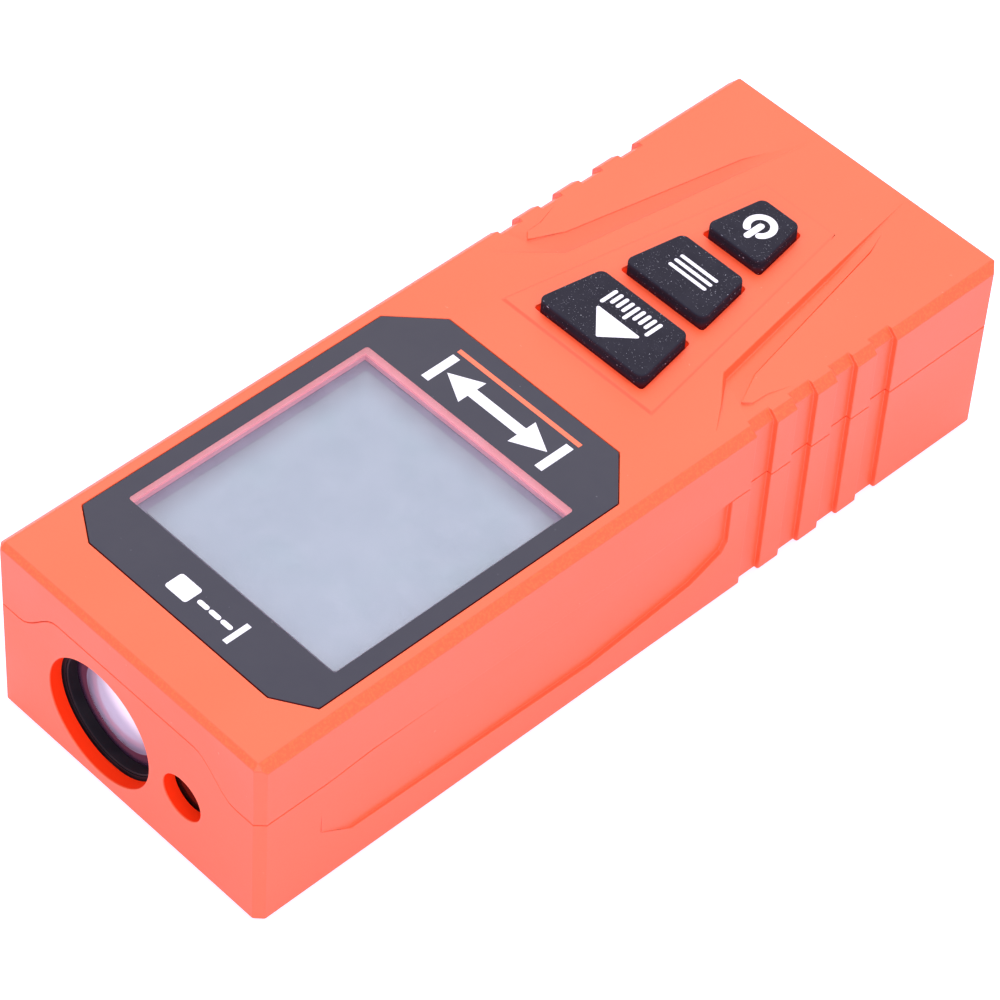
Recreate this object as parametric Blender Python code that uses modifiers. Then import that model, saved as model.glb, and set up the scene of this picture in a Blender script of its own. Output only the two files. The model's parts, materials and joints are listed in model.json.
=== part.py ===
"""Pocket laser distance meter, modelled piece by piece at its real size.

Frame: metres, +Z up. The resting underside lies at z = 0 and the origin is below the middle of
the case. The lens face looks along -Y, the back face along +Y. Lengths in this file are written
in millimetres and turned into metres by the helpers.
"""

from math import cos, pi, sin, sqrt, tan

import bmesh
import bpy
from mathutils import Matrix, Vector

MM = 0.001

# ---------------------------------------------------------------- driving dimensions (mm)

LENGTH = 100.8            # lens face to back face
WIDTH = 38.0
HEIGHT = 22.8             # underside to top face, without the keys
SIDE = WIDTH / 2
FRONT = -LENGTH / 2
BACK = LENGTH / 2

CORNER_CHAMFER = 0.9      # the four upright corners
TOP_SIDE_CHAMFER = 0.97   # long top edges
TOP_FRONT_CHAMFER = 0.6
SMALL_CHAMFER = 0.25      # underside edges and the top back edge

PART_Z = 14.3             # height of the parting line between cover and housing
PART_GAP = 0.12
TONGUE_Z = 18.1           # the housing's front wall rises to here around the lens
TONGUE_TOP = 9.8          # half width of the raised part at its top
TONGUE_FOOT = 15.6        # half width where it meets the parting line

WALL = 1.8                # side walls
FRONT_WALL = 1.5
BACK_WALL = 1.6
COVER_TOP = 1.8           # thickness of the cover's top
FLOOR = 1.2               # thickness of the housing's underside
INNER_X = SIDE - WALL
INNER_FRONT = FRONT + FRONT_WALL
INNER_BACK = BACK - BACK_WALL
COVER_UNDER = HEIGHT - COVER_TOP

GROOVE_START = 14.75      # the first grip groove's front edge
GROOVE_PITCH = 5.77
GROOVE_WIDTH = 2.95
GROOVE_DEPTH = 0.62
GROOVES = 4

WINDOW_X = 16.8           # half width of the display window plate
WINDOW_FRONT = -43.85
WINDOW_REAR = 2.3
WINDOW_THICK = 1.0
WINDOW_GAP = 0.12
POCKET_FLOOR = HEIGHT - 1.2
CLEAR_X = 14.65           # half width of the clear area and of the well below it
CLEAR_FRONT = -37.4
CLEAR_REAR = -6.6

KEY_TAPER = 0.176         # half width lost per millimetre towards the back
KEY_REFERENCE = (10.1, 7.35)          # y and half width at the front of the measure key
KEY_SPANS = {"measure": (10.1, 17.75), "function": (20.5, 27.6), "power": (30.5, 37.5)}
KEY_CORNER = 1.0
KEY_TOP = HEIGHT + 1.5
KEY_CROWN = 0.35          # height of the key's rounded upper edge
KEY_GAP = 0.28            # between a key and its aperture
APERTURE_CORNER = 0.35    # tighter than the key's corner, so a small gap shows there
KEY_FLANGE = 0.55         # the flange under the cover is wider by this much
KEY_TRAVEL = 0.5

PANEL_FRONT, PANEL_REAR = 8.5, 40.3   # low raised panel around the keys
PANEL_MARGIN = 2.7
PANEL_RISE_FRONT, PANEL_RISE_REAR = 0.18, 0.04

BOARD_Z = 16.5            # underside of the main board
BOARD_THICK = 1.0
BOARD_TOP = BOARD_Z + BOARD_THICK
BOARD_X, BOARD_Y = 15.2, 40.5

LCD_TOP = COVER_UNDER - 0.1
LCD_GLASS = 0.8           # thickness of each of the two glasses
LCD_X = 15.9
LCD_FRONT, LCD_REAR = -39.2, -5.6
LCD_LEDGE = 0.9           # the lower glass reaches further back, for its contacts

LENS_X, BEAM_Z = -4.05, 8.9
LENS_HOLE_R = 7.3
LENS_R, LENS_FLANGE_R = 5.2, 6.85
LENS_FACE = -47.35        # front face of the lens flange
LENS_FLANGE = 1.3
LASER_X = 8.0
LASER_HOLE_R = 2.7

CHASSIS_X = (-12.3, 12.2)
CHASSIS_FRONT = INNER_FRONT + 0.2
CHASSIS_REAR = -24.0
CHASSIS_NECK = -27.0      # the receiver funnel is narrowest from here to the rear

CELL_R = 5.25             # AAA cell
CELL_LENGTH = 44.5
CELL_X = 5.4
CELL_Z = 7.05
BAY_X = 11.3              # half width of the battery bay
BAY_OUTER_X = 14.0        # outside of the bay's side walls
BAY_FRONT = -0.8
BAY_CEILING = 12.6
BAY_WALL = 1.0            # thickness of the bay's ceiling
PARTITION = 1.4           # wall in front of the bay
CONTACT_FACE = BAY_FRONT + 0.35       # rear face of the contact plates on that wall
SPRING_LENGTH = 3.9

DOOR_X = 12.5
DOOR_FRONT = -1.75
DOOR_REAR = 47.7
DOOR_THICK = 1.4
DOOR_GAP = 0.2
TAB_X = (5.0, 8.0)        # the door's two tabs, which slip under the housing's floor
TAB_CLEARANCE = 0.4
TAB_REAR = -1.4
LATCH_X = 5.0             # half width of the springy latch tongue
LATCH_SLIT = 0.5
LATCH_FRONT = 40.5

CASE_SCREW_X, CASE_SCREW_Y = 15.6, 44.5
BOARD_SCREW_X = 12.8
BOARD_SCREW_Y = (1.5, 37.5)
CHASSIS_SCREW_X, CHASSIS_SCREW_Y = 10.9, -22.0
CASE_PILOT_R, SMALL_PILOT_R = 1.06, 0.86
CASE_HOLE_R, SMALL_HOLE_R = 1.2, 1.0

LABEL_X = 11.1
LABEL_FRONT, LABEL_REAR = -39.9, -8.3
LABEL_THICK = 0.13

PAST = 1.0                # cutters run this far past the faces they open

PARTS_NAME = "laser_distance_meter"

# ---------------------------------------------------------------- clean start and collections


def clear_scene():
    for old in list(bpy.data.objects):
        bpy.data.objects.remove(old, do_unlink=True)


def new_collection(name):
    collection = bpy.data.collections.new(name)
    bpy.context.scene.collection.children.link(collection)
    return collection


clear_scene()
PARTS = new_collection(PARTS_NAME)
CUTTERS = new_collection("cutters")

# ---------------------------------------------------------------- materials

FINISHES = {
    "orange_plastic": ((0.90, 0.13, 0.03), 0.50, 0.0),
    "black_rubber": ((0.025, 0.025, 0.030), 0.75, 0.0),
    "black_plastic": ((0.020, 0.020, 0.022), 0.55, 0.0),
    "white_plastic": ((0.80, 0.80, 0.78), 0.45, 0.0),
    "window_print": ((0.045, 0.045, 0.055), 0.15, 0.0),
    "lcd_grey": ((0.45, 0.50, 0.52), 0.20, 0.0),
    "board_green": ((0.02, 0.16, 0.07), 0.45, 0.0),
    "chip_black": ((0.015, 0.015, 0.015), 0.50, 0.0),
    "glass": ((0.85, 0.85, 0.95), 0.03, 0.0),
    "steel": ((0.62, 0.62, 0.60), 0.30, 1.0),
    "brass": ((0.75, 0.55, 0.22), 0.30, 1.0),
    "cell_label": ((0.10, 0.20, 0.42), 0.35, 0.0),
    "red_wire": ((0.60, 0.03, 0.02), 0.45, 0.0),
    "black_wire": ((0.02, 0.02, 0.02), 0.45, 0.0),
    "ribbon": ((0.70, 0.35, 0.06), 0.35, 0.0),
    "paper_label": ((0.80, 0.80, 0.80), 0.60, 0.0),
}


def make_material(name, colour, roughness, metallic):
    material = bpy.data.materials.new(name)
    material.use_nodes = True
    shader = material.node_tree.nodes["Principled BSDF"]
    shader.inputs["Base Color"].default_value = (*colour, 1.0)
    shader.inputs["Roughness"].default_value = roughness
    shader.inputs["Metallic"].default_value = metallic
    return material


def own_material(part_name, finish):
    """Each sub-part has its own material, made from one of the finishes."""
    return make_material(f"{part_name}_{finish}", *FINISHES[finish])


# ---------------------------------------------------------------- outlines (mm)


def rectangle(x0, y0, x1, y1):
    return [(x0, y0), (x1, y0), (x1, y1), (x0, y1)]


def offset_outline(points, distance):
    """Moves every side of a counter-clockwise outline outwards by distance."""
    moved = []
    count = len(points)
    for i, corner in enumerate(points):
        before = Vector(corner) - Vector(points[i - 1])
        after = Vector(points[(i + 1) % count]) - Vector(corner)
        n1 = Vector((before.y, -before.x)).normalized()
        n2 = Vector((after.y, -after.x)).normalized()
        mitre = (n1 + n2) / (1 + n1.dot(n2))
        moved.append(tuple(Vector(corner) + mitre * distance))
    return moved


def rounded(points, radius, steps=3):
    """Replaces each corner of an outline with an arc of the given radius."""
    result = []
    count = len(points)
    for i, corner in enumerate(points):
        corner = Vector(corner)
        to_last = (Vector(points[i - 1]) - corner).normalized()
        to_next = (Vector(points[(i + 1) % count]) - corner).normalized()
        half = to_last.angle(to_next) / 2
        centre = corner + (to_last + to_next).normalized() * (radius / sin(half))
        start = corner + to_last * (radius / tan(half))
        arm = start - centre
        sweep = pi - 2 * half
        turn = 1 if to_last.x * to_next.y - to_last.y * to_next.x < 0 else -1
        for k in range(steps + 1):
            angle = turn * sweep * k / steps
            x = arm.x * cos(angle) - arm.y * sin(angle)
            y = arm.x * sin(angle) + arm.y * cos(angle)
            result.append((centre.x + x, centre.y + y))
    return result


def key_outline(span):
    """A key narrows towards the back; its four corners are rounded."""
    y_ref, half_ref = KEY_REFERENCE
    front, rear = span
    half_front = half_ref - KEY_TAPER * (front - y_ref)
    half_rear = half_ref - KEY_TAPER * (rear - y_ref)
    return rounded([(-half_front, front), (half_front, front),
                    (half_rear, rear), (-half_rear, rear)], KEY_CORNER)


def taper_outline(front, rear, extra):
    """The keys' common taper, widened on every side by extra."""
    y_ref, half_ref = KEY_REFERENCE
    half_front = half_ref + extra - KEY_TAPER * (front - y_ref)
    half_rear = half_ref + extra - KEY_TAPER * (rear - y_ref)
    return [(-half_front, front), (half_front, front), (half_rear, rear), (-half_rear, rear)]


def window_outline():
    """A rectangle whose corners are cut off: small at the lens end, larger at the key end."""
    front_x, front_y, rear_x, rear_y = 4.1, 2.6, 4.75, 4.8
    right = [(WINDOW_X - front_x, WINDOW_FRONT), (WINDOW_X, WINDOW_FRONT + front_y),
             (WINDOW_X, WINDOW_REAR - rear_y), (WINDOW_X - rear_x, WINDOW_REAR)]
    left = [(-x, y) for x, y in reversed(right)]
    return right + left


def tongue_curve(gap):
    """Parting line on the lens face, from left to right, rising in a smooth S on each side."""
    steps = 8
    rise = []
    for k in range(steps + 1):
        t = k / steps
        x = TONGUE_FOOT + (TONGUE_TOP - TONGUE_FOOT) * t
        z = PART_Z + (TONGUE_Z - PART_Z) * (1 - cos(pi * t)) / 2
        rise.append((x, z + gap))
    return [(-x, z) for x, z in rise] + list(reversed(rise))


# ---------------------------------------------------------------- building blocks


def to_object(name, mesh, collection):
    obj = bpy.data.objects.new(name, mesh)
    collection.objects.link(obj)
    return obj


def as_part(obj, finish):
    obj.data.materials.append(own_material(obj.name, finish))
    return obj


def as_cutter(obj):
    """Cutters and fused helper bodies stay out of the model itself."""
    for owner in list(obj.users_collection):
        owner.objects.unlink(obj)
    CUTTERS.objects.link(obj)
    obj.hide_render = True
    obj.display_type = "WIRE"
    return obj


def from_bmesh(name, bm, collection=None):
    bmesh.ops.recalc_face_normals(bm, faces=bm.faces)
    mesh = bpy.data.meshes.new(name)
    bm.to_mesh(mesh)
    bm.free()
    return to_object(name, mesh, collection or PARTS)


def box(name, low, high):
    """A cuboid between two corners; the object's origin is at its centre."""
    low, high = Vector(low) * MM, Vector(high) * MM
    bm = bmesh.new()
    bmesh.ops.create_cube(bm, size=1.0)
    bmesh.ops.scale(bm, vec=high - low, verts=bm.verts)
    obj = from_bmesh(name, bm)
    obj.location = (low + high) / 2
    return obj


AXIS_TURN = {
    "z": Matrix.Identity(4),
    "y": Matrix.Rotation(-pi / 2, 4, "X"),
    "x": Matrix.Rotation(pi / 2, 4, "Y"),
}


def cylinder(name, start, radius, length, axis="z", sides=24, end_radius=None):
    """A cylinder or cone from start along +axis."""
    bm = bmesh.new()
    bmesh.ops.create_cone(bm, cap_ends=True, segments=sides, radius1=radius * MM,
                          radius2=(radius if end_radius is None else end_radius) * MM,
                          depth=length * MM)
    bmesh.ops.translate(bm, vec=(0, 0, length * MM / 2), verts=bm.verts)
    obj = from_bmesh(name, bm)
    obj.matrix_world = Matrix.Translation(Vector(start) * MM) @ AXIS_TURN[axis]
    shade_round(obj)
    return obj


def shade_round(obj):
    obj.data.shade_smooth()
    obj.data.set_sharp_from_angle(angle=pi / 5)


def curve_to_mesh(curve_obj):
    """Turns a filled or bevelled curve into a closed mesh at the same place."""
    graph = bpy.context.evaluated_depsgraph_get()
    mesh = bpy.data.meshes.new_from_object(curve_obj.evaluated_get(graph))
    bm = bmesh.new()
    bm.from_mesh(mesh)
    bmesh.ops.remove_doubles(bm, verts=bm.verts, dist=0.001 * MM)
    bmesh.ops.recalc_face_normals(bm, faces=bm.faces)
    bm.to_mesh(mesh)
    bm.free()
    name = curve_obj.name
    place = curve_obj.matrix_world.copy()
    bpy.data.objects.remove(curve_obj, do_unlink=True)
    obj = to_object(name, mesh, PARTS)
    obj.matrix_world = place
    return obj


OUTLINE_FRAME = {
    "z": Matrix.Identity(4),                                              # outline (x, y)
    "y": Matrix(((1, 0, 0, 0), (0, 0, -1, 0), (0, 1, 0, 0), (0, 0, 0, 1))),   # outline (x, z)
    "x": Matrix(((0, 0, 1, 0), (1, 0, 0, 0), (0, 1, 0, 0), (0, 0, 0, 1))),    # outline (y, z)
}


def prism(name, outline, low, high, axis="z"):
    """A flat outline extruded along an axis from low to high."""
    curve = bpy.data.curves.new(name, "CURVE")
    curve.dimensions = "2D"
    curve.fill_mode = "BOTH"
    curve.extrude = (high - low) / 2 * MM
    spline = curve.splines.new("POLY")
    spline.points.add(len(outline) - 1)
    spline.use_cyclic_u = True
    for point, (u, v) in zip(spline.points, outline):
        point.co = (u * MM, v * MM, 0, 1)
    obj = bpy.data.objects.new(name, curve)
    PARTS.objects.link(obj)
    middle = Vector({"z": (0, 0, 1), "y": (0, 1, 0), "x": (1, 0, 0)}[axis]) * (low + high) / 2 * MM
    obj.matrix_world = Matrix.Translation(middle) @ OUTLINE_FRAME[axis]
    bpy.context.view_layer.update()
    return curve_to_mesh(obj)


def stacked(name, outline, levels):
    """Extrudes an outline upwards level by level; each level is (z, outward offset)."""
    def ring(z, spread):
        return [Vector((x, y, z)) * MM for x, y in offset_outline(outline, spread)]

    bm = bmesh.new()
    last = ring(*levels[0])
    face = bm.faces.new([bm.verts.new(place) for place in last])
    base = face
    for level in levels[1:]:
        grown = bmesh.ops.extrude_face_region(bm, geom=[face], use_keep_orig=True)
        if face is not base:
            bmesh.ops.delete(bm, geom=[face], context="FACES_ONLY")
        face = next(f for f in grown["geom"] if isinstance(f, bmesh.types.BMFace))
        target = ring(*level)
        for vert in face.verts:
            nearest = min(range(len(last)), key=lambda i: (last[i] - vert.co).length)
            vert.co = target[nearest]
        last = target
    return from_bmesh(name, bm)


def turned(name, profile, origin, axis="y", steps=32):
    """A turned body. The profile is (radius, distance along the axis), from the far end back
    to the near end along the outer side; it starts and ends on the axis or closes on itself."""
    is_ring = profile[0][0] > 0
    bm = bmesh.new()
    verts = [bm.verts.new((r * MM, 0, h * MM)) for r, h in profile]
    for a, b in zip(verts, verts[1:]):
        bm.edges.new((a, b))
    if is_ring:
        bm.edges.new((verts[-1], verts[0]))
    mesh = bpy.data.meshes.new(name)
    bm.to_mesh(mesh)
    bm.free()
    obj = to_object(name, mesh, PARTS)
    obj.matrix_world = Matrix.Translation(Vector(origin) * MM) @ AXIS_TURN[axis]
    screw = obj.modifiers.new("turn", "SCREW")
    screw.steps = steps
    screw.render_steps = steps
    screw.use_merge_vertices = True
    screw.merge_threshold = 0.00001
    return obj


def wire(name, points, radius):
    """A round wire along a polyline."""
    curve = bpy.data.curves.new(name, "CURVE")
    curve.dimensions = "3D"
    curve.bevel_depth = radius * MM
    curve.bevel_resolution = 2
    curve.use_fill_caps = True
    spline = curve.splines.new("POLY")
    spline.points.add(len(points) - 1)
    for point, place in zip(spline.points, points):
        point.co = (*(Vector(place) * MM), 1)
    obj = bpy.data.objects.new(name, curve)
    PARTS.objects.link(obj)
    bpy.context.view_layer.update()
    return curve_to_mesh(obj)


def boolean(target, tool, operation):
    modifier = target.modifiers.new(f"{operation.lower()}_{tool.name}"[:60], "BOOLEAN")
    modifier.object = tool
    modifier.operation = operation
    modifier.solver = "EXACT"
    as_cutter(tool)
    return target


def cut(target, tool):
    return boolean(target, tool, "DIFFERENCE")


def fuse(target, tool):
    return boolean(target, tool, "UNION")


def applied(obj):
    """Bakes an object's modifiers into a new mesh in world coordinates."""
    bpy.context.view_layer.update()
    graph = bpy.context.evaluated_depsgraph_get()
    mesh = bpy.data.meshes.new_from_object(obj.evaluated_get(graph))
    mesh.transform(obj.matrix_world)
    return mesh


# ---------------------------------------------------------------- the outer form of the case

FACE_OFFSETS = {
    "+x": (Vector((1, 0, 0)), SIDE), "-x": (Vector((-1, 0, 0)), SIDE),
    "+y": (Vector((0, 1, 0)), BACK), "-y": (Vector((0, -1, 0)), BACK),
    "+z": (Vector((0, 0, 1)), HEIGHT), "-z": (Vector((0, 0, -1)), 0.0),
}


def chamfer_edge(bm, faces, leg):
    """Planes off the edge or corner where the named faces meet."""
    normal = sum((FACE_OFFSETS[f][0] for f in faces), Vector())
    reach = sum(FACE_OFFSETS[f][1] for f in faces) - leg
    point = normal * (reach / normal.length_squared) * MM
    geometry = bm.verts[:] + bm.edges[:] + bm.faces[:]
    sliced = bmesh.ops.bisect_plane(bm, geom=geometry, dist=1e-8, plane_co=point,
                                    plane_no=normal, clear_outer=True)
    rim = [e for e in sliced["geom_cut"] if isinstance(e, bmesh.types.BMEdge)]
    bmesh.ops.edgeloop_fill(bm, edges=rim)


def chamfered_block():
    bm = bmesh.new()
    bmesh.ops.create_cube(bm, size=1.0)
    bmesh.ops.scale(bm, vec=Vector((WIDTH, LENGTH, HEIGHT)) * MM, verts=bm.verts)
    bmesh.ops.translate(bm, vec=(0, 0, HEIGHT / 2 * MM), verts=bm.verts)
    for x in ("+x", "-x"):
        for y in ("+y", "-y"):
            chamfer_edge(bm, (x, y), CORNER_CHAMFER)
            chamfer_edge(bm, (x, y, "-z"), CORNER_CHAMFER + SMALL_CHAMFER)
        chamfer_edge(bm, (x, "+z"), TOP_SIDE_CHAMFER)
        chamfer_edge(bm, (x, "-z"), SMALL_CHAMFER)
        chamfer_edge(bm, (x, "-y", "+z"), TOP_SIDE_CHAMFER + TOP_FRONT_CHAMFER)
    chamfer_edge(bm, ("-y", "+z"), TOP_FRONT_CHAMFER)
    chamfer_edge(bm, ("+y", "+z"), SMALL_CHAMFER)
    for y in ("+y", "-y"):
        chamfer_edge(bm, (y, "-z"), SMALL_CHAMFER)
    return from_bmesh("case_form", bm)


def hollow_cutter(name, rim, place):
    """A cutter with a warped floor. Each rim point is (u, v, depth, du, dv): the floor lies
    depth below the surface and is shifted by (du, dv), which slopes the wall above it."""
    headroom = 0.8
    bm = bmesh.new()
    top, floor = [], []
    for u, v, depth, du, dv in rim:
        lean = headroom / depth if depth > 0.1 else 0.0
        top.append(bm.verts.new(Vector(place(u - du * lean, v - dv * lean, headroom)) * MM))
        floor.append(bm.verts.new(Vector(place(u + du, v + dv, -depth)) * MM))
    bm.faces.new(top)
    bm.faces.new(floor)
    for i in range(len(rim)):
        bm.faces.new((top[i - 1], top[i], floor[i], floor[i - 1]))
    bm.normal_update()
    bmesh.ops.triangulate(bm, faces=bm.faces[:], ngon_method="EAR_CLIP")
    return from_bmesh(name, bm)


FADE = -0.03              # a rim point this far above the surface lets a hollow run out softly


def shoulder_scoop(side):
    """Trough beside the keys: deepest at its front inner corner, running out to the back."""
    rim = [
        (11.2, 17.8, 0.80, 0.36, 0.09),
        (16.9, 10.9, FADE, 0, 0),
        (17.7, 15.0, FADE, 0, 0),
        (17.5, 23.5, FADE, 0, 0),
        (16.15, 19.0, 0.08, 0, 0),
        (16.05, 17.0, 0.18, 0, 0),
        (15.2, 16.2, 0.31, 0, 0),
        (13.4, 20.0, 0.10, 0, 0),
        (9.1, 41.4, 0.02, 0, 0),
        (6.3, 48.9, FADE, 0, 0),
        (8.3, 36.3, 0.55, 0.24, 0.06),
    ]
    return hollow_cutter(f"scoop_{side:+d}", rim,
                         lambda u, v, h: (side * u, v, HEIGHT + h))


def housing_scallop(side):
    """Thumb hollow in the housing's side, below the parting line."""
    top = PART_Z + 0.02
    rim = [
        (-42.6, 7.6, 0.02, 0, 0),
        (-38.6, 4.9, 0.30, 0, 0),
        (-6.8, 4.1, 0.50, 0, 0),
        (7.1, 5.5, 0.55, 0, 0),
        (11.5, 7.2, 0.58, 0, 0),
        (12.2, 8.4, 0.58, 0, 0),
        (12.2, top, 0.58, 0, 0),
        (8.0, top, 0.52, 0, 0),
        (-36.0, top, 0.25, 0, 0),
        (-42.6, top, FADE, 0, 0),
    ]
    return hollow_cutter(f"housing_scallop_{side:+d}", rim,
                         lambda u, v, h: (side * (SIDE + h), u, v))


def cover_scallop(side):
    """The same hollow above the parting line, where it fades out towards the top edge."""
    low = PART_Z + 0.02
    high = HEIGHT - TOP_SIDE_CHAMFER - 0.5
    rim = [
        (-42.6, low, FADE, 0, 0),
        (-36.0, low, 0.25, 0, 0),
        (8.0, low, 0.52, 0, 0),
        (12.2, low, FADE, 0, 0),
        (11.0, high, FADE, 0, 0),
        (-36.0, high, FADE, 0, 0),
    ]
    return hollow_cutter(f"cover_scallop_{side:+d}", rim,
                         lambda u, v, h: (side * (SIDE + h), u, v))


def grip_groove(side, index):
    """Upright groove whose floor repeats the top chamfer further in."""
    start = GROOVE_START + index * GROOVE_PITCH
    floor_x = SIDE - GROOVE_DEPTH
    reach = 2.0
    outline = [
        (floor_x, -reach), (SIDE + reach, -reach), (SIDE + reach, HEIGHT + reach),
        (floor_x - TOP_SIDE_CHAMFER - reach, HEIGHT + reach),
        (floor_x, HEIGHT - TOP_SIDE_CHAMFER),
    ]
    outline = [(side * x, z) for x, z in outline]
    return prism(f"groove_{side:+d}_{index}", outline, start, start + GROOVE_WIDTH, "y")


def key_panel():
    """Low raised panel around the keys, highest at its front, with sloping edges."""
    slope = 0.3
    outline = taper_outline(PANEL_FRONT, PANEL_REAR, PANEL_MARGIN)
    levels = [(HEIGHT - 0.6, slope), (HEIGHT, slope), (HEIGHT + PANEL_RISE_FRONT, 0)]
    panel = stacked("key_panel", outline, levels)
    fall = (PANEL_RISE_FRONT - PANEL_RISE_REAR) / (PANEL_REAR - PANEL_FRONT)
    bm = bmesh.new()
    bm.from_mesh(panel.data)
    for vert in bm.verts:
        if vert.co.z > (HEIGHT + PANEL_RISE_REAR) * MM:
            vert.co.z -= (vert.co.y - PANEL_FRONT * MM) * fall
    bmesh.ops.triangulate(bm, faces=bm.faces[:])
    bm.to_mesh(panel.data)
    bm.free()
    return panel


def case_form():
    """The closed outer form that cover and housing are both taken from."""
    form = chamfered_block()
    fuse(form, key_panel())
    for side in (1, -1):
        for cutter in (shoulder_scoop(side), housing_scallop(side), cover_scallop(side)):
            cut(form, cutter)
        for index in range(GROOVES):
            cut(form, grip_groove(side, index))
    mesh = applied(form)
    bpy.data.objects.remove(form, do_unlink=True)
    return mesh


# ---------------------------------------------------------------- cover and housing

SPLIT_REACH = 60.0        # cutters that split the whole case reach this far
HOUSING_BOSS_TOP = 13.9   # the housing's screw bosses end here, below the cover's
TONGUE_BACK = INNER_FRONT + 0.1
LIP_X = INNER_X - 0.75    # inner face of the housing's locating lip
LIP_Y = 38.8
LIP_RISE = 1.0            # the lip stands this far above the parting line


def corners(x, y):
    return [(sx * x, sy * y) for sx in (1, -1) for sy in (1, -1)]


def case_screw_places():
    return corners(CASE_SCREW_X, CASE_SCREW_Y)


def board_screw_places():
    return [(side * BOARD_SCREW_X, y) for side in (1, -1) for y in BOARD_SCREW_Y]


def chassis_screw_places():
    return [(side * CHASSIS_SCREW_X, CHASSIS_SCREW_Y) for side in (1, -1)]


def side_box(name, side, low, high):
    """A box described for the right-hand side; side -1 mirrors it to the left."""
    x0, x1 = sorted((side * low[0], side * high[0]))
    return box(f"{name}_{side:+d}", (x0, *low[1:]), (x1, *high[1:]))


def upright(name, place, low, high, radius, sides=16):
    """An upright cylinder between two heights."""
    return cylinder(name, (*place, low), radius, high - low, sides=sides)


def build_top_cover(form):
    cover = to_object("top_cover", form.copy(), PARTS)
    split = PART_Z + PART_GAP / 2
    cut(cover, box("below_parting", (-SPLIT_REACH, -SPLIT_REACH, -PAST),
                   (SPLIT_REACH, SPLIT_REACH, split)))
    tongue = tongue_curve(PART_GAP / 2) + [(TONGUE_FOOT, 0), (-TONGUE_FOOT, 0)]
    cut(cover, prism("tongue_clearance", tongue, FRONT - PAST, TONGUE_BACK + PART_GAP / 2, "y"))
    cut(cover, box("cover_cavity", (-INNER_X, INNER_FRONT, 0), (INNER_X, INNER_BACK, COVER_UNDER)))

    sunk = COVER_UNDER + 0.3          # the bosses are rooted this far up in the cover's top
    for i, place in enumerate(case_screw_places()):
        fuse(cover, upright(f"cover_boss_{i}", place, split, sunk, 2.0, 20))
    for i, place in enumerate(board_screw_places()):
        fuse(cover, upright(f"board_boss_{i}", place, BOARD_TOP + 0.1, sunk, 1.7, 20))

    above = HEIGHT + PAST
    cut(cover, prism("window_pocket", offset_outline(window_outline(), WINDOW_GAP),
                     POCKET_FLOOR, above))
    cut(cover, box("display_well", (-CLEAR_X, CLEAR_FRONT, COVER_UNDER - PAST),
                   (CLEAR_X, CLEAR_REAR, above)))
    for key, (front, rear) in KEY_SPANS.items():
        opening = taper_outline(front - KEY_GAP, rear + KEY_GAP, KEY_GAP)
        cut(cover, prism(f"{key}_aperture", rounded(opening, APERTURE_CORNER),
                         COVER_UNDER - PAST, above))

    case_pilot_top, board_pilot_top = 18.5, 20.4
    for i, place in enumerate(case_screw_places()):
        cut(cover, upright(f"case_pilot_{i}", place, PART_Z - PAST, case_pilot_top, CASE_PILOT_R))
    for i, place in enumerate(board_screw_places()):
        cut(cover, upright(f"board_pilot_{i}", place, BOARD_Z, board_pilot_top, SMALL_PILOT_R))
    return as_part(cover, "orange_plastic")


def cut_battery_bay(housing):
    """Hollows the rear of the housing around a box-shaped bay that is open below."""
    behind = BAY_FRONT - PARTITION
    ceiling = BAY_CEILING + BAY_WALL
    for side in (1, -1):
        cut(housing, side_box("side_cavity", side, (BAY_OUTER_X, behind, FLOOR),
                              (INNER_X, INNER_BACK, HEIGHT)))
    over_x = BAY_OUTER_X + 0.1
    cut(housing, box("above_bay", (-over_x, behind, ceiling), (over_x, INNER_BACK, HEIGHT)))
    cut(housing, box("battery_bay", (-BAY_X, BAY_FRONT, -PAST), (BAY_X, INNER_BACK, BAY_CEILING)))
    door_x = DOOR_X + DOOR_GAP
    cut(housing, box("door_recess", (-door_x, DOOR_FRONT - DOOR_GAP, -PAST),
                     (door_x, DOOR_REAR + DOOR_GAP, DOOR_THICK + 0.15)))

    slot_front, slot_top = -4.0, 4.3  # room for the door's tabs to swing through
    tail_slot = 1.1                   # half width of the opening for a contact's tail
    for side in (1, -1):
        cut(housing, side_box("tab_slot", side,
                              (TAB_X[0] - TAB_CLEARANCE, slot_front, FLOOR + 0.02),
                              (TAB_X[1] + TAB_CLEARANCE, BAY_FRONT + 0.2, slot_top)))
        cut(housing, side_box("tail_slot", side,
                              (CELL_X - tail_slot, BAY_FRONT - 0.1, BAY_CEILING - PAST),
                              (CELL_X + tail_slot, BAY_FRONT + 0.6, ceiling + PAST)))

    half_width, deep, steps = 4.5, 1.5, 12
    angles = [pi * k / steps for k in range(steps + 1)]
    nail = [(half_width * cos(a), DOOR_REAR + deep * sin(a)) for a in angles]
    cut(housing, prism("nail_notch", nail, -PAST, 0.9))


def add_locating_lip(housing):
    """A lip inside each long wall keeps the cover in line."""
    for side in (1, -1):
        fuse(housing, side_box("lip_foot", side, (LIP_X, -LIP_Y - 0.2, PART_Z - 2.1),
                               (INNER_X + 0.2, LIP_Y + 0.2, PART_Z - 0.3)))
        fuse(housing, side_box("lip", side, (LIP_X, -LIP_Y, PART_Z - 1.3),
                               (INNER_X - PART_GAP, LIP_Y, PART_Z + LIP_RISE)))


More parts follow.
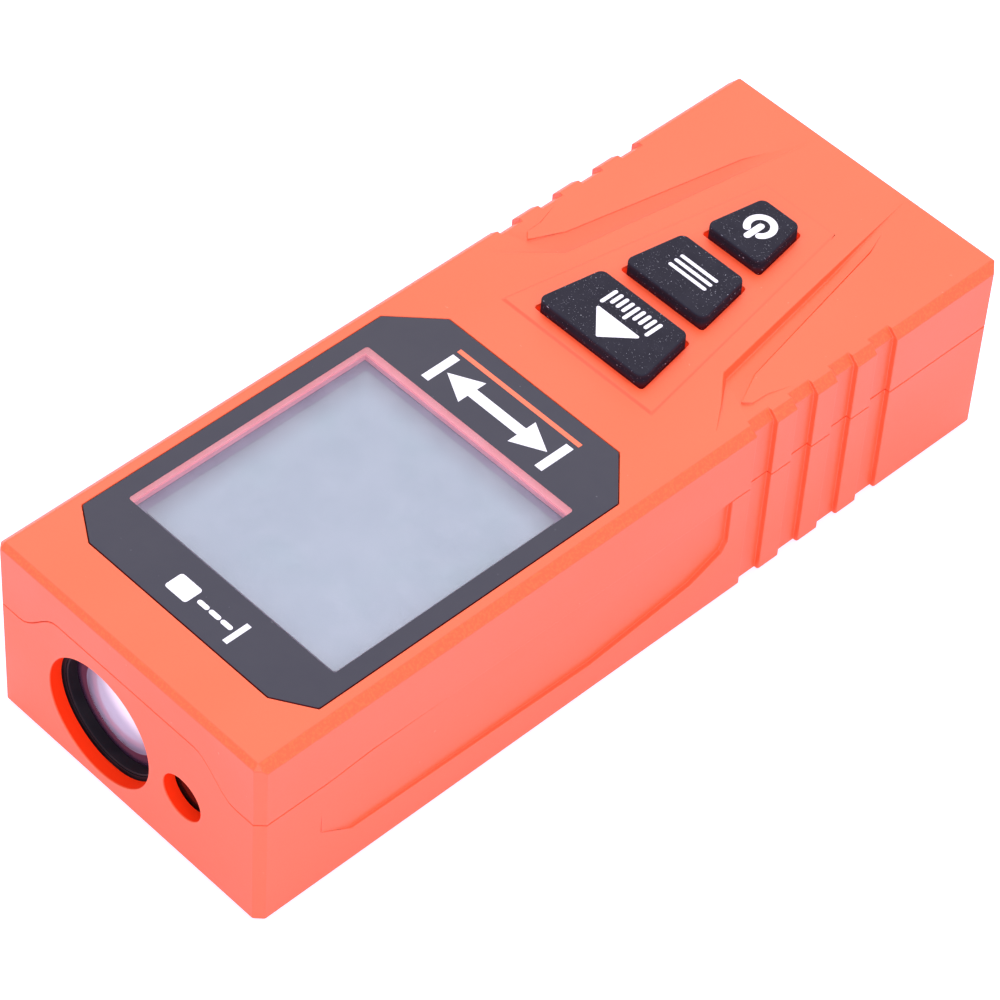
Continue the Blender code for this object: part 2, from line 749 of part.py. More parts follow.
def add_screw_bosses(housing):
    """Bosses for the four case screws, sunk into the underside, and posts for the optics."""
    counterbore_r, counterbore_top = 1.95, 2.2
    post_top, post_floor = 4.0, 1.6
    for i, place in enumerate(case_screw_places()):
        fuse(housing, upright(f"case_boss_{i}", place, FLOOR / 3, HOUSING_BOSS_TOP, 2.7, 24))
        cut(housing, upright(f"counterbore_{i}", place, -PAST, counterbore_top, counterbore_r, 24))
        cut(housing, upright(f"case_hole_{i}", place, -PAST, PART_Z + PAST, CASE_HOLE_R))
    for i, place in enumerate(chassis_screw_places()):
        fuse(housing, upright(f"chassis_post_{i}", place, FLOOR / 2, post_top, 1.9, 20))
        cut(housing, upright(f"chassis_pilot_{i}", place, post_floor, post_top + PAST,
                             SMALL_PILOT_R))


def build_lower_housing(form):
    housing = to_object("lower_housing", form.copy(), PARTS)
    split = PART_Z - PART_GAP / 2
    high = HEIGHT + PAST
    cut(housing, box("above_parting", (-SPLIT_REACH, TONGUE_BACK - PART_GAP / 2, split),
                     (SPLIT_REACH, SPLIT_REACH, high)))
    over_tongue = [(-SPLIT_REACH, split), *tongue_curve(-PART_GAP / 2), (SPLIT_REACH, split),
                   (SPLIT_REACH, high), (-SPLIT_REACH, high)]
    cut(housing, prism("above_tongue", over_tongue, FRONT - PAST, TONGUE_BACK, "y"))
    cut(housing, box("front_cavity", (-INNER_X, INNER_FRONT, FLOOR),
                     (INNER_X, BAY_FRONT - PARTITION, HEIGHT)))
    cut_battery_bay(housing)
    add_locating_lip(housing)
    add_screw_bosses(housing)

    through = FRONT_WALL + 2 * PAST
    cut(housing, cylinder("lens_hole", (LENS_X, FRONT - PAST, BEAM_Z), LENS_HOLE_R, through,
                          "y", 64))
    cut(housing, cylinder("laser_hole", (LASER_X, FRONT - PAST, BEAM_Z), LASER_HOLE_R, through,
                          "y", 32))
    border = 0.3
    cut(housing, box("label_recess", (-LABEL_X - border, LABEL_FRONT - border, -PAST),
                     (LABEL_X + border, LABEL_REAR + border, 0.2)))
    return as_part(housing, "orange_plastic")


# ---------------------------------------------------------------- battery door and cells

HINGE_Y = DOOR_FRONT - 0.05
HINGE_Z = 0.0


def add_door_tabs(door):
    """Two hooked tabs at the front edge: they pass under the floor and carry the door."""
    low, high = 1.5, 2.3
    for side in (1, -1):
        fuse(door, side_box("tab_neck", side, (TAB_X[0], DOOR_FRONT + 0.05, DOOR_THICK - 0.4),
                            (TAB_X[1], TAB_REAR, high - 0.1)))
        fuse(door, side_box("tab", side, (TAB_X[0], -3.6, low), (TAB_X[1], TAB_REAR - 0.05, high)))


def shape_latch(door):
    """Springy tongue between two slits, with a snap hook behind and grip lines below."""
    hook_x, hook_front, hook_top = 1.9, 46.5, 2.8
    thin = 0.95               # the tongue's root is thinned to this
    for side in (1, -1):
        cut(door, side_box("latch_slit", side, (LATCH_X, LATCH_FRONT, -PAST),
                           (LATCH_X + LATCH_SLIT, DOOR_REAR + PAST, hook_top)))
    cut(door, box("latch_thinning", (-LATCH_X - 0.2, LATCH_FRONT + 0.5, thin),
                  (LATCH_X + 0.2, hook_front - 0.3, hook_top)))
    fuse(door, box("latch_hook", (-hook_x, hook_front, DOOR_THICK - 0.4),
                   (hook_x, DOOR_REAR - 0.1, hook_top)))
    grip_x, grip_pitch, grip_width, grip_depth = 3.6, 1.1, 0.5, 0.35
    for i in range(4):
        y = LATCH_FRONT + 1.7 + grip_pitch * i
        cut(door, box(f"grip_line_{i}", (-grip_x, y, -PAST), (grip_x, y + grip_width, grip_depth)))


def build_battery_door():
    """The door's origin is on its hinge line, the lower front edge."""
    outline = rounded(rectangle(-DOOR_X, DOOR_FRONT, DOOR_X, DOOR_REAR), 0.6, 2)
    edge = 0.2
    door = stacked("battery_door", outline, [(0, -edge), (edge, 0), (DOOR_THICK, 0)])
    fuse(door, box("door_spine", (-1.0, 3.0, DOOR_THICK - 0.3), (1.0, 38.0, DOOR_THICK + 0.7)))
    add_door_tabs(door)
    shape_latch(door)
    arrow_x, arrow_y, arrow_length = 2.0, 36.4, 3.0
    arrow = [(-arrow_x, arrow_y), (arrow_x, arrow_y), (0, arrow_y + arrow_length)]
    cut(door, prism("opening_mark", arrow, -PAST, 0.3))
    door.data.transform(Matrix.Translation((0, -HINGE_Y * MM, -HINGE_Z * MM)))
    door.location = (0, HINGE_Y * MM, HINGE_Z * MM)
    return as_part(door, "orange_plastic")


def build_cell(name, side, plus_forward):
    """AAA cell lying along Y; the profile is drawn from the minus end."""
    nub_r, nub, edge = 1.9, 0.8, 0.4
    rim = 0.7                 # width of the rolled rim around the plus end
    shoulder = CELL_LENGTH - nub
    profile = [
        (0, CELL_LENGTH), (nub_r, CELL_LENGTH), (nub_r, shoulder - 0.1),
        (CELL_R - rim - 0.2, shoulder - 0.1), (CELL_R - rim, shoulder),
        (CELL_R - edge, shoulder), (CELL_R, shoulder - edge), (CELL_R, edge),
        (CELL_R - edge, 0), (0, 0),
    ]
    start = CONTACT_FACE + 0.1
    if plus_forward:
        profile = [(r, CELL_LENGTH - h) for r, h in reversed(profile)]
    else:
        start += SPRING_LENGTH + 0.3
    cell = turned(name, profile, (side * CELL_X, start, CELL_Z), "y", 28)
    shade_round(cell)
    return as_part(cell, "cell_label")


def build_contact(name, side):
    """Flat plate on the bay's front wall, with a solder tail up through the ceiling."""
    x = side * CELL_X
    plate_x, tail_x = 4.0, 0.9
    low, shoulder, tail_top = 3.2, BAY_CEILING - 0.3, 15.2
    outline = [(x - plate_x, low), (x + plate_x, low), (x + plate_x, shoulder),
               (x + tail_x, shoulder), (x + tail_x, tail_top), (x - tail_x, tail_top),
               (x - tail_x, shoulder), (x - plate_x, shoulder)]
    plate = prism(name, outline, BAY_FRONT + 0.05, CONTACT_FACE, "y")
    return as_part(plate, "steel")


def build_link_plate():
    """Joins the two cells at the back of the bay."""
    outline = rounded(rectangle(-9.6, 3.2, 9.6, 11.2), 0.8, 2)
    plate = prism("battery_link_plate", outline, INNER_BACK - 0.4, INNER_BACK - 0.1, "y")
    return as_part(plate, "steel")


def build_spring(name, side, start, front_r, rear_r):
    """Conical contact spring along Y."""
    turns, steps, wire_r = 3.5, 10, 0.28
    count = int(turns * steps)
    points = []
    for k in range(count + 1):
        t = k / count
        radius = front_r + (rear_r - front_r) * t
        angle = 2 * pi * turns * t
        y = start + wire_r + (SPRING_LENGTH - 2 * wire_r) * t
        points.append((side * CELL_X + radius * cos(angle), y, CELL_Z + radius * sin(angle)))
    return as_part(wire(name, points, wire_r), "steel")


def build_battery_wire(name, side, finish):
    """From a contact's tail to a pad on the underside of the main board."""
    start = Vector((side * CELL_X, BAY_FRONT - 0.55, 14.8))
    end = Vector((side * (CELL_X - 1.5), -5.0, BOARD_Z - 0.2))
    sag = Vector((0, -1.5, -1.2))
    steps = 8
    points = []
    for k in range(steps + 1):
        t = k / steps
        points.append(start.lerp(end, t) + sag * sin(pi * t))
    return as_part(wire(name, points, 0.45), finish)


def build_battery_parts():
    """Two cells in series, joined at the back, with a spring at each minus end."""
    wide, narrow = 3.6, 2.4
    build_cell("battery_left", -1, plus_forward=False)
    build_cell("battery_right", 1, plus_forward=True)
    build_spring("front_spring", -1, CONTACT_FACE + 0.05, wide, narrow)
    build_spring("rear_spring", 1, CONTACT_FACE + CELL_LENGTH + 0.2, narrow, wide)
    build_contact("minus_contact", -1)
    build_contact("plus_contact", 1)
    build_link_plate()
    build_battery_wire("minus_wire", -1, "black_wire")
    build_battery_wire("plus_wire", 1, "red_wire")


# ---------------------------------------------------------------- display


def build_display_window():
    """Plate that fills the pocket in the cover, and the adhesive frame that holds it."""
    edge = 0.15
    window = stacked("display_window", window_outline(),
                     [(HEIGHT - WINDOW_THICK, 0), (HEIGHT - edge, 0), (HEIGHT, -edge)])
    as_part(window, "window_print")

    margin, play = 0.4, 0.03
    tape = prism("window_adhesive", offset_outline(window_outline(), -margin),
                 POCKET_FLOOR + play, HEIGHT - WINDOW_THICK - play)
    clear = 0.1
    cut(tape, box("tape_opening", (-CLEAR_X - clear, CLEAR_FRONT - clear, POCKET_FLOOR - PAST),
                  (CLEAR_X + clear, CLEAR_REAR + clear, HEIGHT)))
    as_part(tape, "black_plastic")


def build_lcd():
    """Two glasses, a light guide below them, a contact strip and a holding frame."""
    middle, low = LCD_TOP - LCD_GLASS, LCD_TOP - 2 * LCD_GLASS
    lcd = box("lcd_panel", (-LCD_X, LCD_FRONT, middle), (LCD_X, LCD_REAR, LCD_TOP))
    fuse(lcd, box("lcd_lower_glass", (-LCD_X, LCD_FRONT, low), (LCD_X, LCD_REAR + LCD_LEDGE, middle)))
    as_part(lcd, "lcd_grey")

    inset = 0.7
    strip_x, strip_front, strip_rear = 14.5, -7.4, -5.2
    light = box("lcd_backlight", (-LCD_X + inset, LCD_FRONT + inset - 0.1, BOARD_TOP + 0.6),
                (LCD_X - inset, strip_front - 0.8, low - 0.1))
    as_part(light, "white_plastic")
    strip = box("lcd_contact_strip", (-strip_x, strip_front, BOARD_TOP + 0.1),
                (strip_x, strip_rear, low - 0.1))
    as_part(strip, "black_rubber")

    play, wall = 0.2, 0.65
    x, front, rear = LCD_X + play, LCD_FRONT - play - 0.05, LCD_REAR + LCD_LEDGE + play
    frame = prism("lcd_frame", rectangle(-x - wall, front - wall, x + wall, rear + 0.6),
                  BOARD_TOP + 0.1, LCD_TOP)
    cut(frame, box("lcd_frame_opening", (-x, front, BOARD_Z), (x, rear, HEIGHT)))
    as_part(frame, "white_plastic")


# ---------------------------------------------------------------- keys and board

SWITCH_TOP = BOARD_TOP + 0.9
FLANGE_BOTTOM = SWITCH_TOP + KEY_TRAVEL + 0.3
WEB_BOTTOM = BOARD_TOP + 1.0
WEB_TOP = WEB_BOTTOM + 0.6


def build_key(key, span):
    """Rubber key with its origin on its line of travel, at the foot of the flange."""
    middle = (span[0] + span[1]) / 2
    flange_top = COVER_UNDER - 0.1
    levels = [(FLANGE_BOTTOM, KEY_FLANGE), (flange_top, KEY_FLANGE), (flange_top, 0),
              (KEY_TOP - KEY_CROWN, 0), (KEY_TOP - 0.1, -0.12), (KEY_TOP, -KEY_CROWN)]
    cap = stacked(f"{key}_key", key_outline(span), levels)
    origin = Vector((0, middle, FLANGE_BOTTOM)) * MM
    cap.data.transform(Matrix.Translation(-origin))
    cap.location = origin
    return as_part(cap, "black_rubber")


def build_switch(key, span):
    """Low push switch below a key; its stem travels with the key."""
    middle = (span[0] + span[1]) / 2
    half_x, half_y = 2.5, 1.8
    switch = box(f"{key}_switch", (-half_x, middle - half_y, BOARD_TOP + 0.05),
                 (half_x, middle + half_y, SWITCH_TOP))
    stem_r, play = 1.0, 0.15
    bore_floor = BOARD_TOP + 0.25
    cut(switch, upright(f"{key}_switch_bore", (0, middle), bore_floor, SWITCH_TOP + PAST,
                        stem_r + play, 20))
    as_part(switch, "steel")
    stem = upright(f"{key}_switch_stem", (0, middle), SWITCH_TOP - 0.1, FLANGE_BOTTOM - 0.05,
                   stem_r, 20)
    return as_part(stem, "white_plastic")


def build_keypad_web():
    """The rubber sheet around the keys, with a clearance hole for each of them."""
    sheet = rounded(taper_outline(PANEL_FRONT - 0.5, PANEL_REAR - 0.3, PANEL_MARGIN - 0.5), 1.0, 2)
    web = prism("keypad_web", sheet, WEB_BOTTOM, WEB_TOP)
    for key, span in KEY_SPANS.items():
        hole = offset_outline(key_outline(span), KEY_FLANGE + 0.3)
        cut(web, prism(f"{key}_web_hole", hole, WEB_BOTTOM - PAST, WEB_TOP + PAST))
    return as_part(web, "black_rubber")


def build_keypad():
    build_keypad_web()
    for key, span in KEY_SPANS.items():
        build_key(key, span)
        build_switch(key, span)


def build_board():
    """The main board and the larger components on its underside."""
    outline = rounded(rectangle(-BOARD_X, -BOARD_Y, BOARD_X, BOARD_Y), 1.0, 2)
    board = prism("main_board", outline, BOARD_Z, BOARD_TOP)
    for i, place in enumerate(board_screw_places()):
        cut(board, upright(f"board_hole_{i}", place, BOARD_Z - PAST, BOARD_TOP + PAST,
                           SMALL_HOLE_R))
    as_part(board, "board_green")

    top = BOARD_Z - 0.05
    chip_tall, crystal_tall, capacitor_tall, buzzer_tall = 1.0, 0.9, 1.9, 2.2
    chip = box("controller_chip", (-4.0, -15.5, top - chip_tall), (4.0, -7.5, top))
    as_part(chip, "chip_black")
    crystal = box("timing_crystal", (-11.0, -10.5, top - crystal_tall), (-7.8, -8.5, top))
    as_part(crystal, "steel")
    capacitor = box("supply_capacitor", (-12.5, 6.0, top - capacitor_tall), (-9.2, 9.5, top))
    as_part(capacitor, "brass")
    buzzer = upright("buzzer", (9.5, -10.0), top - buzzer_tall, top, 4.4, 28)
    as_part(buzzer, "black_plastic")


# ---------------------------------------------------------------- optics

LENS_BORE_R = LENS_FLANGE_R + 0.1
LASER_BORE_R = 3.3


def build_chassis():
    """Black optical block: a funnel behind the receiver lens and a straight laser bore."""
    low, high = FLOOR + 0.15, BOARD_Z - 0.25
    block = box("optics_chassis", (CHASSIS_X[0], CHASSIS_FRONT, low),
                (CHASSIS_X[1], CHASSIS_REAR, high))
    ear_x, ear_rear, ear_low, ear_high = 1.9, -19.7, 4.15, 5.7
    for i, (x, _) in enumerate(chassis_screw_places()):
        fuse(block, box(f"ear_{i}", (x - ear_x, CHASSIS_REAR - 0.6, ear_low),
                        (x + ear_x, ear_rear, ear_high)))
    neck_r, wide_r = 3.1, 6.3
    shelf = LENS_FACE + LENS_FLANGE + 0.55
    funnel = [(0, 0), (neck_r, 0), (neck_r, CHASSIS_NECK), (wide_r, shelf), (LENS_BORE_R, shelf),
              (LENS_BORE_R, FRONT), (0, FRONT)]
    cut(block, turned("receiver_funnel", funnel, (LENS_X, 0, BEAM_Z), "y", 48))
    cut(block, cylinder("laser_bore", (LASER_X, FRONT, BEAM_Z), LASER_BORE_R, -FRONT, "y", 32))
    for i, place in enumerate(chassis_screw_places()):
        cut(block, upright(f"ear_hole_{i}", place, ear_low - PAST, ear_high + PAST, SMALL_HOLE_R))
    margin, saved = 1.1, 1.2
    cut(block, box("top_pocket", (CHASSIS_X[0] + margin, -43.0, high - saved),
                   (CHASSIS_X[1] - margin, -26.0, high + PAST)))
    return as_part(block, "black_plastic")


def dome(radius, bulge, base, steps=4):
    """Points of a spherical cap towards -Y, from its rim to its centre: (radius, distance)."""
    sphere = (radius * radius + bulge * bulge) / (2 * bulge)
    points = []
    for k in range(steps + 1):
        r = radius * (1 - k / steps)
        points.append((r, base - bulge + sphere - sqrt(sphere ** 2 - r ** 2)))
    return points


def build_receiver_lens():
    """Moulded double-convex lens with a flat flange, and the ring that holds it."""
    rear_face = LENS_FACE + LENS_FLANGE
    front = dome(LENS_R, 1.25, LENS_FACE)
    rear = [(r, 2 * rear_face - y) for r, y in reversed(dome(LENS_R, 1.0, rear_face))]
    flange = [(LENS_FLANGE_R, rear_face), (LENS_FLANGE_R, LENS_FACE)]
    lens = turned("receiver_lens", rear + flange + front, (LENS_X, 0, BEAM_Z), "y", 40)
    shade_round(lens)
    as_part(lens, "glass")

    outer_r, inner_r = LENS_BORE_R - 0.07, LENS_FLANGE_R - 0.2
    ring_front, ring_rear = INNER_FRONT + 0.3, LENS_FACE - 0.1
    ring = [(inner_r, ring_rear), (outer_r, ring_rear), (outer_r, ring_front),
            (inner_r + 0.15, ring_front)]
    return as_part(turned("lens_retainer", ring, (LENS_X, 0, BEAM_Z), "y", 48), "black_plastic")


DETECTOR_FACE = -22.8     # front face of the detector board


def build_detector():
    """Optical filter and detector at the end of the funnel, with their board and shield."""
    filter_front = (LENS_X, CHASSIS_NECK + 0.1, BEAM_Z)
    as_part(cylinder("receiver_filter", filter_front, 3.0, 0.5, "y", 28), "glass")

    base_r, can_r, face_r = 2.75, 2.3, 2.0
    can = [(0, 3.4), (1.5, 3.4), (1.5, 3.2), (base_r, 3.2), (base_r, 2.8), (can_r, 2.8),
           (can_r, 0.3), (face_r, 0), (0, 0)]
    as_part(turned("light_detector", can, (LENS_X, -26.3, BEAM_Z), "y", 28), "steel")

    half, thick, low, high = 4.8, 1.0, 3.2, 15.0
    as_part(box("detector_board", (LENS_X - half, DETECTOR_FACE, low),
                (LENS_X + half, DETECTOR_FACE + thick, high)), "board_green")

    half, sheet, deep, low, high = 4.5, 0.3, 3.4, 3.8, 14.2
    front = DETECTOR_FACE + thick + 0.1
    shield = box("detector_shield", (LENS_X - half, front, low), (LENS_X + half, front + deep, high))
    cut(shield, box("shield_inside", (LENS_X - half + sheet, front - PAST, low + sheet),
                    (LENS_X + half - sheet, front + deep - sheet, high - sheet)))
    as_part(shield, "steel")


def build_receiver_ribbon():
    """Flat cable: up behind the detector shield, then back along the main board."""
    half, thick = 2.5, 0.15
    foot_z, top_z = 9.0, 16.1
    front = DETECTOR_FACE + 4.55
    rear = -15.5
    strip = [(front + thick, foot_z), (front + thick, top_z - thick), (rear, top_z - thick),
             (rear, top_z), (front, top_z), (front, foot_z)]
    ribbon = prism("receiver_ribbon", strip, LENS_X - half, LENS_X + half, "x")
    return as_part(ribbon, "ribbon")


def build_laser():
    """Window, threaded barrel with a collimating lens, laser diode and its lead."""
    x, z = LASER_X, BEAM_Z
    window = cylinder("laser_window", (x, CHASSIS_FRONT + 0.05, z), 3.2, 0.6, "y", 32)
    as_part(window, "glass")

    barrel_front, barrel_rear, barrel_r, bore_r = -47.7, -34.0, 3.2, 2.4
    barrel = [(bore_r, barrel_rear), (barrel_r, barrel_rear), (barrel_r, barrel_front),
              (bore_r, barrel_front)]
    as_part(turned("laser_barrel", barrel, (x, 0, z), "y", 32), "brass")

    lens_r, lens_front, lens_rear = 2.3, -46.2, -44.6
    profile = [(0, lens_rear), (lens_r, lens_rear)] + dome(lens_r, 0.6, lens_front)
    lens = turned("collimator_lens", profile, (x, 0, z), "y", 28)
    shade_round(lens)
    as_part(lens, "glass")

    base_rear, base_front, can_front, base_r, can_r = -31.8, -33.8, -36.2, 2.8, 2.2
    can = [(0, base_rear), (base_r, base_rear), (base_r, base_front), (can_r, base_front),
           (can_r, can_front), (0, can_front)]
    as_part(turned("laser_diode", can, (x, 0, z), "y", 28), "brass")

    lead = [(x + 1.0, -31.5, z), (x + 1.0, -27.0, z), (x + 1.0, -21.5, z + 0.3),
            (x, -18.0, z + 3.0), (x - 1.0, -16.6, z + 6.0), (x - 1.0, -16.2, BOARD_Z - 0.15)]
    return as_part(wire("laser_lead", lead, 0.5), "red_wire")


def build_optics():
    build_chassis()
    build_receiver_lens()
    build_detector()
    build_receiver_ribbon()
    build_laser()


# ---------------------------------------------------------------- screws and label


def build_screw(name, place, head_start, head, shank, direction):
    """Pan-head self-tapping screw with a cross recess. head and shank are (radius, length);
    direction is +1 when the tip points up."""
    head_r, head_len = head
    shank_r, shank_len = shank
    tip, edge = 0.8, 0.35
    end = head_len + shank_len
    profile = [(0, end), (shank_r * 0.3, end), (shank_r, end - tip), (shank_r, head_len),
               (head_r, head_len), (head_r, edge), (head_r - edge, 0), (0, 0)]
    screw = turned(name, profile, (*place, head_start), "z", 14)
    if direction < 0:
        screw.matrix_world = screw.matrix_world @ Matrix.Rotation(pi, 4, "X")
    recess, half_slot, deep = head_r * 0.6, 0.22, 0.7
    z0, z1 = sorted((head_start - direction * PAST, head_start + direction * deep))
    for turn, (a, b) in enumerate(((half_slot, recess), (recess, half_slot))):
        cut(screw, box(f"{name}_slot_{turn}", (place[0] - a, place[1] - b, z0),
                       (place[0] + a, place[1] + b, z1)))
    return as_part(screw, "steel")


def build_screws():
    """Case screws from below into the cover; board screws up; optics screws down."""
    small_head = (1.6, 1.05)
    for i, place in enumerate(case_screw_places(), 1):
        build_screw(f"case_screw_{i}", place, 0.7, (1.75, 1.4), (1.0, 14.5), 1)
    for i, place in enumerate(board_screw_places(), 1):
        build_screw(f"board_screw_{i}", place, BOARD_Z - 1.1, small_head, (0.8, 3.6), 1)
    for i, place in enumerate(chassis_screw_places(), 1):
        build_screw(f"chassis_screw_{i}", place, 6.8, small_head, (0.8, 3.4), -1)


def build_label():
    """Thin blank plate in a shallow recess in the underside."""
    outline = rounded(rectangle(-LABEL_X, LABEL_FRONT, LABEL_X, LABEL_REAR), 1.0)
    low = 0.04
    return as_part(prism("rating_label", outline, low, low + LABEL_THICK), "paper_label")


# ---------------------------------------------------------------- the whole meter


def build_meter():
    form = case_form()
    build_top_cover(form)
    build_lower_housing(form)
    bpy.data.meshes.remove(form)
    build_battery_door()
    build_battery_parts()
    build_display_window()
    build_lcd()
    build_keypad()
    build_board()
    build_optics()
    build_screws()
    build_label()


build_meter()
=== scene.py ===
"""Looks of a pocket laser distance meter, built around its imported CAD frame.

The CAD parts keep their places. Finer pieces with rounded edges stand for the case, the display
window, the keys and the lens, prints are added, and every piece gets a procedural material.
Lengths are in millimetres and become metres through MM. Places come from the boxes of the nodes.
"""

import json
from math import cos, degrees, pi, radians, sin, sqrt, tan

import bmesh
import bpy
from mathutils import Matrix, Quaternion, Vector


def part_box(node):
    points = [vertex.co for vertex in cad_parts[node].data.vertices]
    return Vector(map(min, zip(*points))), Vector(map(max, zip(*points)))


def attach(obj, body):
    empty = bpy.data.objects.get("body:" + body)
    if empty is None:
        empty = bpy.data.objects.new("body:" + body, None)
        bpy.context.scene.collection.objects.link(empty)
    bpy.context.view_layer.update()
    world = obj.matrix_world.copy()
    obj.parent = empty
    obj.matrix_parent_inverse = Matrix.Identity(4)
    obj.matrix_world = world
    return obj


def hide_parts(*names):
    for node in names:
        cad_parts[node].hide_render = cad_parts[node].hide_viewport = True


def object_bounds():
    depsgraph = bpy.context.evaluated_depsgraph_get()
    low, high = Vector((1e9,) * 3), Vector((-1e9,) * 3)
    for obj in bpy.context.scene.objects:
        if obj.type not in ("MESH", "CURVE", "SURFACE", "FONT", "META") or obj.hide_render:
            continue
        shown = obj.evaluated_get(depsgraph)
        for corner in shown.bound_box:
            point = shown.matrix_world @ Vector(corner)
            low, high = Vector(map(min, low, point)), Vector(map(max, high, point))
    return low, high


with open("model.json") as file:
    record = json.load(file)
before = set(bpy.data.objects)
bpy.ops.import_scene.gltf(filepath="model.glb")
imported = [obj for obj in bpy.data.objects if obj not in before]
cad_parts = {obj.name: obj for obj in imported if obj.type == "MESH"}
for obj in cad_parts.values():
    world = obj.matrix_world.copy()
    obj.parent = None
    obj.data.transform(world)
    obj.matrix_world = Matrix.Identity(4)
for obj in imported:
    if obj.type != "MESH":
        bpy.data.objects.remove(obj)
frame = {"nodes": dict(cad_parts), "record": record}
cad_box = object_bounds()

MM = 0.001
BODIES = frame["record"]["behaviour"]["bodies"]

# ---------------------------------------------------------------- driving dimensions (mm)

CLEAR_SIDE, CLEAR_FRONT, CLEAR_REAR = 2.15, 6.45, 8.65   # plate border around the clear area
CLEAR_CORNER = 0.35
PLATE_CORNER = 0.35
WINDOW_INK = 0.04         # thickness of the dark print on the clear plate
WINDOW_EDGE = 0.2         # width of the dark band around the clear plate, a painted shade
LCD_BORDER = 1.15         # grey rim between the clear area's edge and the bright film
KEY_TAPER = 0.176         # half width lost per millimetre towards the back
KEY_FLANGE = 0.55         # width of the CAD keys' flange, which the cover hides
KEY_CORNER = 1.0          # corner radius of the CAD keys
CAP_CORNER = 0.75         # the caps' corners are a little tighter
KEY_ROUND = 0.20          # radius of a cap's upper edge
KEY_WIDER = 0.18          # the caps fill their apertures a little more than the CAD keys
FLANGE_DROP = 1.9         # the caps' flanges end this far below the cover's top
PRINT_SUNK, PRINT_THICK = 0.01, 0.02   # how far a print reaches below and above its surface
ICON_X, POWER_X = 0.3, 0.12            # the key prints sit slightly to the right
ICON_BACK = 0.35          # the rear two sit slightly behind the middle of their keys
LENS_BORE, LASER_BORE = 7.3, 2.7       # radii of the two holes in the lens face
BORE_DEPTH = 3.0          # the walls of these holes are tinted down to this depth
COVER_DEPTH = 2.4         # and those around the keys and the window down to this one


def box_mm(node):
    """Lowest and highest corner of a CAD node in millimetres."""
    low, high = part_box(node)
    return Vector(low) / MM, Vector(high) / MM


def clear_area():
    """Clear part of the display window: x and y of its low and high corner."""
    low, high = box_mm("display_window")
    return (low.x + CLEAR_SIDE, low.y + CLEAR_FRONT, high.x - CLEAR_SIDE, high.y - CLEAR_REAR)


def body_with(node):
    return next(body for body, members in BODIES.items() if node in members)


# ---------------------------------------------------------------- outlines


def rectangle(x0, y0, x1, y1):
    return [(x0, y0), (x1, y0), (x1, y1), (x0, y1)]


def offset_outline(points, distance):
    """Moves every side of a counter-clockwise outline outwards by distance."""
    moved = []
    for i, corner in enumerate(points):
        before = Vector(corner) - Vector(points[i - 1])
        after = Vector(points[(i + 1) % len(points)]) - Vector(corner)
        n1 = Vector((before.y, -before.x)).normalized()
        n2 = Vector((after.y, -after.x)).normalized()
        moved.append(tuple(Vector(corner) + (n1 + n2) / (1 + n1.dot(n2)) * distance))
    return moved


def rounded(points, radius, steps=8):
    """Replaces each corner of an outline with an arc."""
    result = []
    for i, corner in enumerate(points):
        corner = Vector(corner)
        to_last = (Vector(points[i - 1]) - corner).normalized()
        to_next = (Vector(points[(i + 1) % len(points)]) - corner).normalized()
        half = to_last.angle(to_next) / 2
        centre = corner + (to_last + to_next).normalized() * (radius / sin(half))
        arm = corner + to_last * (radius / tan(half)) - centre
        turn = 1 if to_last.cross(to_next) < 0 else -1
        for k in range(steps + 1):
            angle = turn * (pi - 2 * half) * k / steps
            result.append((centre.x + arm.x * cos(angle) - arm.y * sin(angle),
                           centre.y + arm.x * sin(angle) + arm.y * cos(angle)))
    return result


def arc(centre, radius, start, end, steps=24):
    """Points of an arc between two angles in degrees."""
    angles = [radians(start + (end - start) * k / steps) for k in range(steps + 1)]
    return [(centre[0] + radius * cos(a), centre[1] + radius * sin(a)) for a in angles]


def bar(start, end, width, steps=6):
    """Outline of a straight stroke with round ends."""
    start, end = Vector(start), Vector(end)
    heading = degrees((end - start).angle_signed(Vector((1, 0))))
    return (arc(end, width / 2, heading - 90, heading + 90, steps)
            + arc(start, width / 2, heading + 90, heading + 270, steps))


# ---------------------------------------------------------------- building blocks


def add_piece(name, mesh, material, body, slot, *stands_for):
    """A visible piece that rides on a CAD body and may stand for CAD nodes."""
    obj = link_object(name, mesh)
    mesh.materials.clear()
    mesh.materials.append(material)
    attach(obj, body)
    if stands_for:
        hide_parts(*stands_for)
    return obj


def shade(obj, sharp=32):
    """Smooth shading that keeps large flat faces flat."""
    obj.data.shade_smooth()
    obj.data.set_sharp_from_angle(angle=radians(sharp))
    weighted = obj.modifiers.new("even_normals", "WEIGHTED_NORMAL")
    weighted.keep_sharp = True
    return obj


def link_object(name, data):
    obj = bpy.data.objects.new(name, data)
    bpy.context.scene.collection.objects.link(obj)
    return obj


def mesh_from(name, bm):
    """Writes an edit mesh to a new mesh and frees it."""
    mesh = bpy.data.meshes.new(name)
    bm.to_mesh(mesh)
    bm.free()
    return mesh


